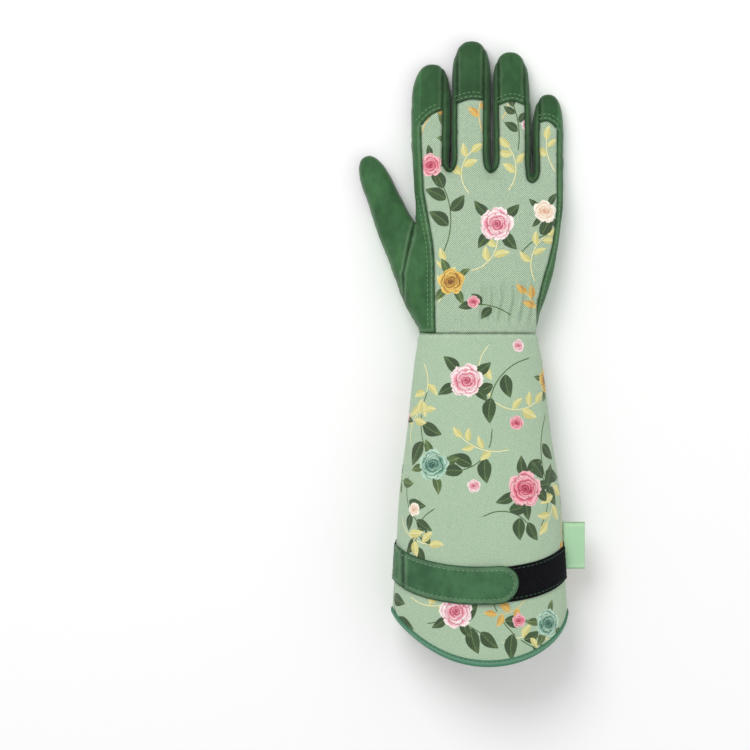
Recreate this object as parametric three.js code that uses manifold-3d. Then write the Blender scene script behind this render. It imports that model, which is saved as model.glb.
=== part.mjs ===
// A right-hand gardening glove with a long gauntlet cuff, lying palm down.
// Units are millimetres. X runs from the thumb side to the little-finger side, Y from the cuff to the fingertips, and Z up.
// The plan is drawn from the middle of the wrist seam, and the finished group stands with the centre of its base at the origin.
import * as THREE from "three";
import { mergeVertices } from "three/addons/utils/BufferGeometryUtils.js";
import Module from "manifold-3d";

const wasm = await Module();
wasm.setup();

// Walls and clearances
const LEATHER_WALL = 1.6;
const CANVAS_WALL = 1.6;
const SEAM_GAP = 0.3;

// The hand, from the wrist seam to the web between index and middle finger
const HAND_LENGTH = 104.5;
const PALM_THUMB_SIDE = 39.8;
const PALM_LITTLE_SIDE = 55;
const KNUCKLE_THICKNESS = 24;
const PALM_THICKNESS = 32;
const WEB_DROP = 10;
const WEB_THICKNESS = 13;

// The wrist, where the hand meets the cuff
const WRIST_WIDTH = 75.5;
const WRIST_THICKNESS = 36;

// The cuff and its curved hem
const CUFF_LENGTH = 211;
const CUFF_THUMB_SIDE_LENGTH = 178;
const CUFF_LITTLE_SIDE_LENGTH = 179;
const HEM_THUMB_SIDE_CURVE = 0.8;
const HEM_LITTLE_SIDE_CURVE = 0.58;
const HEM_WIDTH = 111;
const HEM_THICKNESS = 60;
const HEM_SHIFT = 1.4;
const HEM_LOW_POINT = 6;
const BINDING_WIDTH = 4.5;
const BINDING_WALL = 0.9;
const HEM_LIFT = BINDING_WALL + SEAM_GAP;

// Fingers. These are the middle finger's sizes, and the other fingers follow them.
const FINGER_LENGTH = 80.7;
const FINGER_WIDTH = 25;
const FINGER_THICKNESS = 18.5;
const TIP_ROUND = 27;
const TIP_SQUARENESS = 2.4;
const TIP_THICKNESS_SHARE = 0.84;
const ROOT_DEPTH = 30;
const ROOT_SWELL = 4.5;
const FOURCHETTE_LIP = 3;
const FINGER_SEAM_HEIGHT = 6.6;

// The thumb leans towards the index side of the plan. Its axis starts at the crotch line and runs back into the palm.
const THUMB_LENGTH = 51.5;
const THUMB_LEAN = -23;
const THUMB_WIDTH = 24.2;
const THUMB_TIP_WIDTH = 19.2;
const THUMB_THICKNESS = 19;
const THUMB_BASE_WIDTH = 30;
const THUMB_BASE_DEPTH = 66;
const THUMB_BASE_THICKNESS = 32;
const THUMB_TOUCH_TIP = 35;
const CROTCH_ACROSS = -40.5;
const CROTCH_UP = 71;

// Palm pad, closure strap with its loop strip, and the side label
const PAD_THICKNESS = 2.4;
const PALM_LIFT = PAD_THICKNESS + SEAM_GAP;
const STRAP_WIDTH = 24;
const STRAP_THICKNESS = 1.6;
const STRAP_DOWN = 160;
const STRAP_BOW = 19;
const STRAP_END = 24.5;
const STRAP_LAP = 22;
const STRAP_RISE = 12;
const CLIMB_EARLY = 2;
const LOOP_THICKNESS = 1.1;
const LABEL_LENGTH = 30;
const LABEL_WIDTH = 14;
const LABEL_THICKNESS = 1.1;
const LABEL_DOWN = 135.5;

// Number of sides of each lofted tube
const FINGER_SIDES = 16;
const HAND_SIDES = 24;
const CUFF_SIDES = 32;

// How round a section is: 2 is an ellipse, and more is squarer
const BACK_ROUNDNESS = 2.2;
const PALM_ROUNDNESS = 2.7;

// Share of a section's half thickness that lies flattened on the floor
const REST_FLATNESS = 0.1;

// Plan height that clears every seam line and wall
const CLEAR = 200;

// Edges shorter than this come out of a finished panel
const SLIVER = 0.05;
const PALM_WIDTH = PALM_THUMB_SIDE + PALM_LITTLE_SIDE;

const radians = THREE.MathUtils.degToRad;
const mix = THREE.MathUtils.lerp;

// Hand sections. up is a share of the hand's length, palm goes from the wrist's size at 0 to the palm's at 1,
// knuckle from the palm's thickness at 0 to the knuckles' at 1, web thins the section to the web between the fingers,
// and lift is a share of the height at which the palm clears the floor.
const HAND_SECTIONS = [
  { up: -0.1, palm: 0, knuckle: 0, web: 0, lift: 1 },
  { up: 0, palm: 0, knuckle: 0, web: 0, lift: 1 },
  { up: 0.1, palm: 0.1, knuckle: 0, web: 0, lift: 1 },
  { up: 0.22, palm: 0.34, knuckle: 0, web: 0, lift: 1 },
  { up: 0.36, palm: 0.6, knuckle: 0.08, web: 0, lift: 1 },
  { up: 0.52, palm: 0.78, knuckle: 0.28, web: 0, lift: 1 },
  { up: 0.72, palm: 0.93, knuckle: 0.62, web: 0, lift: 1 },
  { up: 0.87, palm: 1, knuckle: 0.92, web: 0, lift: 1 },
  { up: 0.96, palm: 1, knuckle: 1, web: 0.2, lift: 0.5 },
  { up: 1.03, palm: 0.98, knuckle: 1, web: 1, lift: 0.15 },
];

// Fingers. root is the middle of the finger at the height of its web: across is a share of the palm's width,
// and up of the hand's length. length, the three cap lengths and touch_tip, which run back from the tip, are shares
// of the finger length. width, root_width, bend and the two sides are shares of the finger width, where a side is
// the leather that shows beside the back fabric. lean is in degrees towards the little finger.
const FINGER_SHARES = [
  { name: "index", across: -0.3122, up: 1.0239, lean: 0, bend: 0.036, length: 0.82 },
  { name: "middle", across: -0.0411, up: 1.0268, lean: 0.2, bend: 0, length: 1 },
  { name: "ring", across: 0.2321, up: 1.0182, lean: -0.4, bend: 0, length: 0.924 },
  { name: "little", across: 0.4789, up: 0.9569, lean: 0, bend: 0.012, length: 0.664 },
];
const FINGER_SECTIONS = [
  { name: "index", root_width: 0.92, width: 1, thickness: 0.973 },
  { name: "middle", root_width: 1, width: 1, thickness: 1 },
  { name: "ring", root_width: 0.976, width: 0.96, thickness: 0.973 },
  { name: "little", root_width: 0.784, width: 0.784, thickness: 0.838 },
];
const FINGER_PANELS = [
  { name: "index", cap_thumb_side: 0.496, cap_middle: 0.409, cap_little_side: 0.372, touch_tip: 0.508 },
  { name: "middle", cap_thumb_side: 0.502, cap_middle: 0.471, cap_little_side: 0.477, touch_tip: 0.52 },
  { name: "ring", cap_thumb_side: 0.428, cap_middle: 0.397, cap_little_side: 0.428, touch_tip: 0 },
  { name: "little", cap_thumb_side: 0.223, cap_middle: 0.217, cap_little_side: 0.273, touch_tip: 0 },
];
const FINGER_SIDE_STRIPS = [
  { name: "index", side_thumb: 0.224, side_little: 0.224 },
  { name: "middle", side_thumb: 0.12, side_little: 0.192 },
  { name: "ring", side_thumb: 0.152, side_little: 0.128 },
  { name: "little", side_thumb: 0.168, side_little: 0.16 },
];

// Finger root sections. back is a share of the root's depth into the palm, width goes from the finger's width at 0
// to the root's at 1, narrow is a share of the width, and swell of the root's extra thickness.
const ROOT_SECTIONS = [
  { back: 1, width: 1, narrow: 0.78, lift: 1.6, swell: 1 },
  { back: 0.4, width: 1, narrow: 0.97, lift: 1, swell: 0.9 },
  { back: 0, width: 1, narrow: 1, lift: 0.12, swell: 0.5 },
];

// Thumb base sections. back is a share of the base's depth, outer and inner are shares of its width on each side
// of the thumb's axis, and thick goes from the thumb's thickness at 0 to the base's at 1.
const THUMB_BASE_SECTIONS = [
  { back: 1, outer: 0.38, inner: 0.02, thick: 0.9, lift: 1.2 },
  { back: 0.86, outer: 0.43, inner: 0.2, thick: 0.95, lift: 1.2 },
  { back: 0.67, outer: 0.46, inner: 0.42, thick: 1, lift: 1.1 },
  { back: 0.42, outer: 0.425, inner: 0.56, thick: 0.85, lift: 1 },
  { back: 0.2, outer: 0.41, inner: 0.53, thick: 0.52, lift: 0.8 },
  { back: 0, outer: 0.4, inner: 0.41, thick: 0.22, lift: 0.1 },
];

// Cuff sections. down is a share of the cuff's length, and wide and thick go from the wrist's size at 0 to the hem's at 1.
const CUFF_SECTIONS = [
  { down: -0.02, wide: 0, thick: 0 },
  { down: 0, wide: 0, thick: 0 },
  { down: 0.085, wide: 0.16, thick: 0.12 },
  { down: 0.19, wide: 0.31, thick: 0.25 },
  { down: 0.31, wide: 0.47, thick: 0.41 },
  { down: 0.5, wide: 0.76, thick: 0.68 },
  { down: 0.71, wide: 0.9, thick: 0.9 },
  { down: 0.84, wide: 1, thick: 1 },
  { down: 1.03, wide: 1.01, thick: 1.03 },
];

// Finger and thumb ends close along a quarter ellipse. from_tip is a share of the tip's rounding.
const TIP_STEPS = [1, 0.72, 0.48, 0.28, 0.13, 0.035, 0.004];

// Plan lines of the hand. across is a share of the palm's width, and up of the hand's length.
const FABRIC_THUMB_EDGE = [
  { across: -0.289, up: -0.06 },
  { across: -0.294, up: 0.25 },
  { across: -0.298, up: 0.5 },
  { across: -0.332, up: 0.695 },
  { across: -0.367, up: 0.87 },
];
const FABRIC_LITTLE_EDGE = [
  { across: 0.539, up: 0.86 },
  { across: 0.535, up: 0.76 },
  { across: 0.518, up: 0.6 },
  { across: 0.487, up: 0.47 },
  { across: 0.44, up: 0.32 },
  { across: 0.4, up: 0.14 },
  { across: 0.42, up: -0.06 },
];
const THUMB_BACK_SEAM = [
  { across: -0.5, up: 0.16 },
  { across: -0.505, up: 0.37 },
  { across: -0.47, up: 0.52 },
];
const WEB_GUSSET_SEAM = [
  { across: -0.392, up: 0.585 },
  { across: -0.345, up: 0.598 },
  { across: -0.297, up: 0.67 },
  { across: -0.308, up: 0.735 },
  { across: -0.29, up: 0.8 },
];
const THUMB_PALM_SEAM = [
  { across: -0.175, up: 0.655 },
  { across: -0.107, up: 0.512 },
  { across: -0.095, up: 0.43 },
  { across: -0.12, up: 0.315 },
  { across: -0.2, up: 0.187 },
  { across: -0.33, up: 0.112 },
  { across: -0.5, up: 0.06 },
];
const PALM_PAD_OUTLINE = [
  { across: -0.135, up: 0.79 },
  { across: -0.121, up: 0.822 },
  { across: -0.045, up: 0.83 },
  { across: 0.11, up: 0.787 },
  { across: 0.265, up: 0.732 },
  { across: 0.46, up: 0.665 },
  { across: 0.475, up: 0.52 },
  { across: 0.43, up: 0.36 },
  { across: 0.36, up: 0.1 },
  { across: 0.185, up: 0.077 },
  { across: 0.07, up: 0.062 },
  { across: 0.01, up: 0.08 },
  { across: -0.021, up: 0.126 },
  { across: -0.006, up: 0.2 },
  { across: 0.032, up: 0.282 },
  { across: 0.059, up: 0.39 },
  { across: 0.047, up: 0.485 },
  { across: -0.007, up: 0.6 },
  { across: -0.076, up: 0.695 },
];

// Each finger's own sizes
const FINGERS = FINGER_SHARES.map((share, i) => ({
  name: share.name,
  lean: share.lean,
  root_x: share.across * PALM_WIDTH,
  root_y: share.up * HAND_LENGTH,
  bend: share.bend * FINGER_WIDTH,
  length: share.length * FINGER_LENGTH,
  width: FINGER_SECTIONS[i].width * FINGER_WIDTH,
  root_width: FINGER_SECTIONS[i].root_width * FINGER_WIDTH,
  thickness: FINGER_SECTIONS[i].thickness * FINGER_THICKNESS,
  cap_thumb_side: FINGER_PANELS[i].cap_thumb_side * FINGER_LENGTH,
  cap_middle: FINGER_PANELS[i].cap_middle * FINGER_LENGTH,
  cap_little_side: FINGER_PANELS[i].cap_little_side * FINGER_LENGTH,
  touch_tip: FINGER_PANELS[i].touch_tip * FINGER_LENGTH,
  side_thumb: FINGER_SIDE_STRIPS[i].side_thumb * FINGER_WIDTH,
  side_little: FINGER_SIDE_STRIPS[i].side_little * FINGER_WIDTH,
}));

// A point of the hand's plan
function handPoint({ across, up }) {
  return [across * PALM_WIDTH, up * HAND_LENGTH];
}

// Solids

// Turns an indexed geometry into a manifold-3d solid with its faces pointing out
function solidFrom(geometry) {
  const bare = geometry.clone();
  bare.deleteAttribute("normal");
  bare.deleteAttribute("uv");
  const merged = mergeVertices(bare, 1e-4);
  const make = (triVerts) =>
    new wasm.Manifold(
      new wasm.Mesh({ numProp: 3, vertProperties: new Float32Array(merged.attributes.position.array), triVerts }),
    );
  const solid = make(new Uint32Array(merged.index.array));
  if (solid.volume() >= 0) return solid;
  const turned = new Uint32Array(merged.index.array);
  for (let i = 0; i < turned.length; i += 3) {
    [turned[i + 1], turned[i + 2]] = [turned[i + 2], turned[i + 1]];
  }
  return make(turned);
}

function geometryFrom(solid) {
  const mesh = solid.getMesh();
  const positions = new Float32Array(mesh.numVert * 3);
  for (let i = 0; i < mesh.numVert; i++) {
    positions.set(mesh.vertProperties.subarray(i * mesh.numProp, i * mesh.numProp + 3), i * 3);
  }
  const geometry = new THREE.BufferGeometry();
  geometry.setAttribute("position", new THREE.BufferAttribute(positions, 3));
  geometry.setIndex(new THREE.BufferAttribute(mesh.triVerts, 1));
  geometry.computeVertexNormals();
  return geometry;
}

// Joins the rings of one tube and closes both ends at their middles
function loft(rings) {
  const sides = rings[0].length;
  const positions = rings.flat(2);
  const index = [];
  for (let r = 0; r < rings.length - 1; r++) {
    for (let s = 0; s < sides; s++) {
      const a = r * sides + s;
      const b = r * sides + ((s + 1) % sides);
      index.push(a, b, b + sides, a, b + sides, a + sides);
    }
  }
  for (const [first, turn] of [[0, true], [(rings.length - 1) * sides, false]]) {
    const middle = positions.length / 3;
    const ring = rings[first / sides];
    positions.push(...[0, 1, 2].map((k) => ring.reduce((sum, p) => sum + p[k], 0) / sides));
    for (let s = 0; s < sides; s++) {
      const a = first + s;
      const b = first + ((s + 1) % sides);
      index.push(middle, turn ? b : a, turn ? a : b);
    }
  }
  const geometry = new THREE.BufferGeometry();
  geometry.setAttribute("position", new THREE.Float32BufferAttribute(positions, 3));
  geometry.setIndex(index);
  return solidFrom(geometry);
}

// One ring in the upright plane through the plan points left and right. It is rounder above, and flattened below.
function ring({ left, right, bottom, top, sides, grow = () => 0 }) {
  const points = [];
  const middle = [(left[0] + right[0]) / 2, (left[1] + right[1]) / 2];
  const half = Math.hypot(right[0] - left[0], right[1] - left[1]) / 2;
  const along = [(right[0] - left[0]) / (2 * half), (right[1] - left[1]) / (2 * half)];
  const height = (top - bottom) / 2;
  for (let s = 0; s < sides; s++) {
    const angle = (s / sides) * 2 * Math.PI;
    const power = 2 / (Math.sin(angle) >= 0 ? BACK_ROUNDNESS : PALM_ROUNDNESS);
    const c = Math.sign(Math.cos(angle)) * Math.abs(Math.cos(angle)) ** power;
    const h = Math.sign(Math.sin(angle)) * Math.abs(Math.sin(angle)) ** power;
    const out = grow(c * half);
    const reach = h < 0 ? height * (1 + REST_FLATNESS) : height;
    points.push([
      middle[0] + along[0] * c * (half + out),
      middle[1] + along[1] * c * (half + out),
      Math.max((bottom + top) / 2 + h * (reach + out), bottom - out),
    ]);
  }
  return points;
}

// A plan outline pushed out by grow, and in where grow is negative
function grown(outline, grow) {
  const signed = THREE.ShapeUtils.area(outline.map(([x, y]) => new THREE.Vector2(x, y)));
  const turn = Math.sign(signed);
  const normals = outline.map((p, i) => {
    const q = outline[(i + 1) % outline.length];
    const length = Math.hypot(q[0] - p[0], q[1] - p[1]);
    return [(turn * (q[1] - p[1])) / length, (-turn * (q[0] - p[0])) / length];
  });
  return outline.map((p, i) => {
    const before = normals[(i + normals.length - 1) % normals.length];
    const after = normals[i];
    const share = grow / (1 + before[0] * after[0] + before[1] * after[1]);
    return [p[0] + (before[0] + after[0]) * share, p[1] + (before[1] + after[1]) * share];
  });
}

// An upright prism on a plan outline, far above and below every wall
function prism(outline, grow = 0) {
  const points = grown(outline, grow).map(([x, y]) => new THREE.Vector2(x, y));
  const geometry = new THREE.ExtrudeGeometry(new THREE.Shape(points), { depth: 2 * CLEAR, bevelEnabled: false });
  geometry.translate(0, 0, -CLEAR);
  return solidFrom(geometry);
}

// The space above a side line of { along, height } points when side is 1, and below it when side is -1
function beyondLine(line, side, gap) {
  const far = side * CLEAR;
  const points = line.map((p) => new THREE.Vector2(p.along, p.height + side * gap));
  points.push(new THREE.Vector2(line.at(-1).along, far), new THREE.Vector2(line[0].along, far));
  const geometry = new THREE.ExtrudeGeometry(new THREE.Shape(points), { depth: 2 * CLEAR, bevelEnabled: false });
  // The shape's own x and y become Y and Z, and the extrusion runs along X.
  geometry.translate(0, 0, -CLEAR);
  geometry.applyMatrix4(new THREE.Matrix4().set(0, 0, 1, 0, 1, 0, 0, 0, 0, 1, 0, 0, 0, 0, 0, 1));
  return solidFrom(geometry);
}

// A cut leaves slivers and crumbs along its seam. The panel is the large part, without the slivers.
function panel(solid) {
  return solid
    .simplify(SLIVER)
    .decompose()
    .reduce((a, b) => (a.volume() > b.volume() ? a : b));
}

function joined(solids) {
  return solids.reduce((a, b) => a.add(b));
}

// The hand and its digits

// A digit's own frame in plan: across is towards the little finger, along is towards the tip
function digitPoint(digit, across, along) {
  const lean = radians(digit.lean);
  const drift = digit.bend * Math.max(along / digit.length, 0) ** 3;
  return [
    digit.root_x + (across + drift) * Math.cos(lean) + along * Math.sin(lean),
    digit.root_y - (across + drift) * Math.sin(lean) + along * Math.cos(lean),
  ];
}

const THUMB = {
  lean: THUMB_LEAN,
  bend: 0,
  length: THUMB_LENGTH,
  root_x: CROTCH_ACROSS - (THUMB_WIDTH / 2) * Math.cos(radians(THUMB_LEAN)),
  root_y: CROTCH_UP + (THUMB_WIDTH / 2) * Math.sin(radians(THUMB_LEAN)),
};

function digitRing(digit, along, [low, high], bottom, top) {
  return ring({
    left: digitPoint(digit, low, along),
    right: digitPoint(digit, high, along),
    bottom,
    top,
    sides: FINGER_SIDES,
  });
}

// The rings that round off a digit's end
function tipRings(digit, width, thickness, wall) {
  return TIP_STEPS.map((from_tip) => {
    const share = (1 - (1 - from_tip) ** TIP_SQUARENESS) ** (1 / TIP_SQUARENESS);
    const flat = mix(TIP_THICKNESS_SHARE, 1, from_tip) * share ** 0.8;
    const along = digit.length - wall - from_tip * (TIP_ROUND - wall);
    const inset = wall * Math.min(1, share * 1.2);
    const across = Math.max((width / 2) * share - inset, 0.1);
    const half = Math.max((thickness / 2) * flat - inset, 0.1);
    return digitRing(digit, along, [-across, across], thickness / 2 - half, thickness / 2 + half);
  });
}

function fingerSolid(finger, wall) {
  const top = finger.thickness - wall;
  const shaft = ROOT_SECTIONS.map(({ back, width, narrow, lift, swell }) => {
    const half = (mix(finger.width, finger.root_width, width) * narrow) / 2 - wall;
    return digitRing(finger, -back * ROOT_DEPTH, [-half, half], lift * PALM_LIFT + wall, top + swell * ROOT_SWELL);
  });
  const half = finger.width / 2 - wall;
  shaft.push(digitRing(finger, (finger.length - TIP_ROUND) * 0.6, [-half, half], wall, top));
  return loft([...shaft, ...tipRings(finger, finger.width, finger.thickness, wall)]);
}

function thumbSolid(wall) {
  const shaft = THUMB_BASE_SECTIONS.map(({ back, outer, inner, thick, lift }) =>
    digitRing(
      THUMB,
      -back * THUMB_BASE_DEPTH,
      [wall - outer * THUMB_BASE_WIDTH, inner * THUMB_BASE_WIDTH - wall],
      lift * PALM_LIFT + wall,
      mix(THUMB_THICKNESS, THUMB_BASE_THICKNESS, thick) - wall,
    ),
  );
  return loft([...shaft, ...tipRings(THUMB, THUMB_TIP_WIDTH, THUMB_THICKNESS, wall)]);
}

function palmSolid(wall, grow = 0) {
  return loft(
    HAND_SECTIONS.map(({ up, palm, knuckle, web, lift }) => {
      const base = lift * PALM_LIFT;
      const full = mix(mix(WRIST_THICKNESS, PALM_THICKNESS, palm), KNUCKLE_THICKNESS, knuckle);
      const thickness = mix(full, WEB_THICKNESS, web);
      const y = up * HAND_LENGTH - web * wall;
      const inset = wall - grow;
      return ring({
        left: [-mix(WRIST_WIDTH / 2, PALM_THUMB_SIDE, palm) + inset, y],
        right: [mix(WRIST_WIDTH / 2, PALM_LITTLE_SIDE, palm) - inset, y - WEB_DROP * Math.max(up - 0.3, 0)],
        bottom: base + inset,
        top: base + thickness - inset,
        sides: HAND_SIDES,
      });
    }),
  );
}

function handSolid(wall) {
  return joined([palmSolid(wall), thumbSolid(wall), ...FINGERS.map((finger) => fingerSolid(finger, wall))]);
}

// The seam between palm leather and back panels, seen from the side
const SIDE_SEAM = [
  { along: -0.2 * HAND_LENGTH, height: PALM_LIFT + WRIST_THICKNESS * 0.5 },
  { along: 0.1 * HAND_LENGTH, height: PALM_LIFT + WRIST_THICKNESS * 0.48 },
  { along: 0.6 * HAND_LENGTH, height: PALM_LIFT + KNUCKLE_THICKNESS * 0.36 },
  { along: HAND_LENGTH, height: FINGER_SEAM_HEIGHT },
  { along: 2 * HAND_LENGTH, height: FINGER_SEAM_HEIGHT },
];

// Panel outlines

// The edges of a finger's back fabric, as distances across the finger
function stripEdges(finger) {
  return [-finger.width / 2 + finger.side_thumb, finger.width / 2 - finger.side_little];
}

// The cap's seam across the back of a finger, from the thumb side to the little side
function capSeam(finger) {
  const [low, high] = stripEdges(finger);
  return [
    digitPoint(finger, low, finger.length - finger.cap_thumb_side),
    digitPoint(finger, (low + high) / 2, finger.length - finger.cap_middle),
    digitPoint(finger, high, finger.length - finger.cap_little_side),
  ];
}

// The rounded end of the fourchette between two fingers, from the first finger's strip to the second's
function webLoop(first, second) {
  const start = digitPoint(first, stripEdges(first)[1], FOURCHETTE_LIP * 1.6);
  const end = digitPoint(second, stripEdges(second)[0], FOURCHETTE_LIP * 1.6);
  const low = Math.min(first.root_y, second.root_y) - FOURCHETTE_LIP;
  return [
    start,
    [mix(start[0], end[0], 0.16), low + FOURCHETTE_LIP * 0.8],
    [mix(start[0], end[0], 0.5), low],
    [mix(start[0], end[0], 0.84), low + FOURCHETTE_LIP * 0.8],
    end,
  ];
}

function fabricOutline() {
  const outline = FABRIC_THUMB_EDGE.map(handPoint);
  FINGERS.forEach((finger, i) => {
    outline.push(...capSeam(finger));
    if (i + 1 < FINGERS.length) outline.push(...webLoop(finger, FINGERS[i + 1]));
  });
  return [...outline, ...FABRIC_LITTLE_EDGE.map(handPoint)];
}

// A line from beside the cap's seam along the finger, out past its tip
function sideLine(finger, across) {
  return [0.85, 1, 1.4].map((share) => digitPoint(finger, across, share * finger.length));
}

function capOutline(finger) {
  const [low, high] = stripEdges(finger);
  return [...capSeam(finger), ...sideLine(finger, high), ...sideLine(finger, low).reverse()];
}

function fourchetteOutline(first, second) {
  return [
    ...webLoop(first, second),
    capSeam(second)[0],
    ...sideLine(second, stripEdges(second)[0]),
    ...sideLine(first, stripEdges(first)[1]).reverse(),
    capSeam(first)[2],
  ];
}

function touchOutline(digit, length, width) {
  return [
    digitPoint(digit, -width, digit.length - length),
    digitPoint(digit, width, digit.length - length),
    digitPoint(digit, width, digit.length + TIP_ROUND),
    digitPoint(digit, -width, digit.length + TIP_ROUND),
  ];
}

// Where the thumb and the hand part, seen in plan, up past both
const CROTCH = [CROTCH_ACROSS, CROTCH_UP];
const CROTCH_FAR = [CROTCH_ACROSS - 0.1 * PALM_WIDTH, CROTCH_UP + 0.4 * HAND_LENGTH];
const THUMB_FAR = [
  [CROTCH_FAR[0], CROTCH_UP + THUMB_LENGTH + TIP_ROUND],
  [-PALM_WIDTH - THUMB_LENGTH, CROTCH_UP + THUMB_LENGTH + TIP_ROUND],
];

function thumbOutlines() {
  const low = THUMB_BACK_SEAM.map(handPoint);
  const palm = [...WEB_GUSSET_SEAM, ...THUMB_PALM_SEAM].map(handPoint);
  return {
    back: [CROTCH, CROTCH_FAR, ...THUMB_FAR, [THUMB_FAR[1][0], low[0][1]], ...low],
    palm: [...palm, [THUMB_FAR[1][0], palm.at(-1)[1]], THUMB_FAR[1], THUMB_FAR[0], CROTCH_FAR, CROTCH],
  };
}

function gussetOutline() {
  const seam = WEB_GUSSET_SEAM.map(handPoint);
  const top = seam.at(-1)[1];
  const rise = (top - CROTCH_UP) / (CROTCH_FAR[1] - CROTCH_UP);
  return [CROTCH, ...seam, [mix(CROTCH[0], CROTCH_FAR[0], rise), top]];
}

// Cuff, binding, strap and label

// The cuff's envelope, moved out by grow, which may change across the cuff
function cuffSolid(grow) {
  return loft(
    CUFF_SECTIONS.map(({ down, wide, thick }) => {
      const half = mix(WRIST_WIDTH, HEM_WIDTH, wide) / 2;
      const lift = mix(PALM_LIFT, HEM_LIFT, Math.min(thick, 1));
      return ring({
        left: [wide * HEM_SHIFT - half, -down * CUFF_LENGTH],
        right: [wide * HEM_SHIFT + half, -down * CUFF_LENGTH],
        bottom: lift,
        top: lift + mix(WRIST_THICKNESS, HEM_THICKNESS, thick),
        sides: CUFF_SIDES,
        grow,
      });
    }),
  );
}

// The plan of the cuff from the wrist seam down to the hem, or to a line that lies back from the hem
function cuffPlan(back, start = -SEAM_GAP / 2) {
  const steps = 16;
  const hem = [];
  for (let i = 0; i <= steps; i++) {
    const angle = (i / steps) * Math.PI;
    const thumb_side = angle < Math.PI / 2;
    const side = thumb_side ? CUFF_THUMB_SIDE_LENGTH : CUFF_LITTLE_SIDE_LENGTH;
    const end = HEM_SHIFT + (thumb_side ? -HEM_WIDTH : HEM_WIDTH) / 2;
    const share = Math.abs(Math.cos(angle));
    const curve = thumb_side ? HEM_THUMB_SIDE_CURVE : HEM_LITTLE_SIDE_CURVE;
    hem.push([mix(HEM_LOW_POINT, end, share), back - mix(side, CUFF_LENGTH, (1 - share ** 2) ** curve)]);
  }
  const wide = HEM_WIDTH;
  return [[-wide, start], [-wide, hem[0][1]], ...hem, [wide, hem.at(-1)[1]], [wide, start]];
}

// A band across the back of the cuff, which bows towards the hem
function bandPlan(from, to, width, round) {
  const steps = 14;
  const bow = (x) => 1 - Math.sqrt(Math.max(1 - ((x - HEM_SHIFT) / (HEM_WIDTH / 2)) ** 2, 0));
  const middle = (x) => STRAP_BOW * bow(x) - STRAP_DOWN;
  const edge = (side) =>
    Array.from({ length: steps + 1 }, (_, i) => {
      const x = mix(from, to - round, i / steps);
      return [x, middle(x) + (side * width) / 2];
    });
  const end = [];
  for (let i = 1; round > 0 && i < 8; i++) {
    const angle = Math.PI / 2 - (i / 8) * Math.PI;
    const x = to - round + round * Math.cos(angle);
    end.push([x, middle(x) + (width / 2) * Math.sin(angle)]);
  }
  return [...edge(1), ...end, ...edge(-1).reverse()];
}

// The strap climbs from the cuff onto the loop strip where the two lap
function strapRise(x) {
  const top = STRAP_END - STRAP_LAP - CLIMB_EARLY;
  const climb = THREE.MathUtils.smoothstep(x, top - STRAP_RISE, top);
  return SEAM_GAP + climb * (LOOP_THICKNESS + SEAM_GAP);
}

// How far the cuff reaches towards the little-finger side at a distance below the wrist seam
function cuffReach(down) {
  const share = down / CUFF_LENGTH;
  const i = CUFF_SECTIONS.findIndex((row) => row.down > share);
  const [a, b] = [CUFF_SECTIONS[i - 1], CUFF_SECTIONS[i]];
  const wide = mix(a.wide, b.wide, (share - a.down) / (b.down - a.down));
  return wide * HEM_SHIFT + mix(WRIST_WIDTH, HEM_WIDTH, wide) / 2;
}

function cuffMiddle(down) {
  const thick = Math.min(down / (0.84 * CUFF_LENGTH), 1);
  return mix(PALM_LIFT, HEM_LIFT, thick) + mix(WRIST_THICKNESS, HEM_THICKNESS, thick) / 2;
}

// Everything above the middle of the cuff's sides
function aboveCuffSeam() {
  const line = [CUFF_LENGTH * 1.3, CUFF_LENGTH * 0.84, 0].map((down) => ({ along: -down, height: cuffMiddle(down) }));
  return beyondLine(line, 1, 0);
}

// Building

const half_gap = SEAM_GAP / 2;
const above = beyondLine(SIDE_SEAM, 1, half_gap);
const below = beyondLine(SIDE_SEAM, -1, half_gap);
const above_grown = beyondLine(SIDE_SEAM, 1, -half_gap);
const below_grown = beyondLine(SIDE_SEAM, -1, -half_gap);

const wrist_cut = prism([
  [-CLEAR, half_gap],
  [CLEAR, half_gap],
  [CLEAR, 2 * CLEAR],
  [-CLEAR, 2 * CLEAR],
]);
const shell = handSolid(0).subtract(handSolid(LEATHER_WALL)).intersect(wrist_cut);

const panels = [];

function addPanel(name, look, solid) {
  panels.push({ name, look, solid: panel(solid) });
}

// Cuts one panel out of the shell: outline is its plan, and half is the side of the seam it lies on
function cut(outline, half) {
  return shell.intersect(prism(outline, -half_gap)).intersect(half);
}

addPanel("back_fabric", "canvas", cut(fabricOutline(), above));
for (const finger of FINGERS) {
  addPanel(`${finger.name}_cap`, "dark_leather", cut(capOutline(finger), above));
}
FINGERS.slice(1).forEach((second, i) => {
  const first = FINGERS[i];
  addPanel(`${first.name}_${second.name}_fourchette`, "dark_leather", cut(fourchetteOutline(first, second), above));
});
const touch_tips = FINGERS.filter((finger) => finger.touch_tip > 0).map((finger) => ({
  name: finger.name,
  outline: touchOutline(finger, finger.touch_tip, finger.width * 0.52),
}));
touch_tips.push({ name: "thumb", outline: touchOutline(THUMB, THUMB_TOUCH_TIP, THUMB_WIDTH) });
for (const tip of touch_tips) {
  addPanel(`${tip.name}_touch_tip`, "touch_leather", cut(tip.outline, below));
}
addPanel("thumb_web_gusset", "leather", cut(gussetOutline(), below));

const thumb = thumbOutlines();
const thumb_room = joined([
  prism(thumb.back, -half_gap).intersect(beyondLine(SIDE_SEAM, 1, 0)),
  prism(thumb.palm, -half_gap).intersect(beyondLine(SIDE_SEAM, -1, 0)),
]);
const thumb_tip_room = prism(touch_tips.at(-1).outline, half_gap).intersect(below_grown);
addPanel("thumb_leather", "leather", shell.intersect(thumb_room).subtract(thumb_tip_room));

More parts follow.
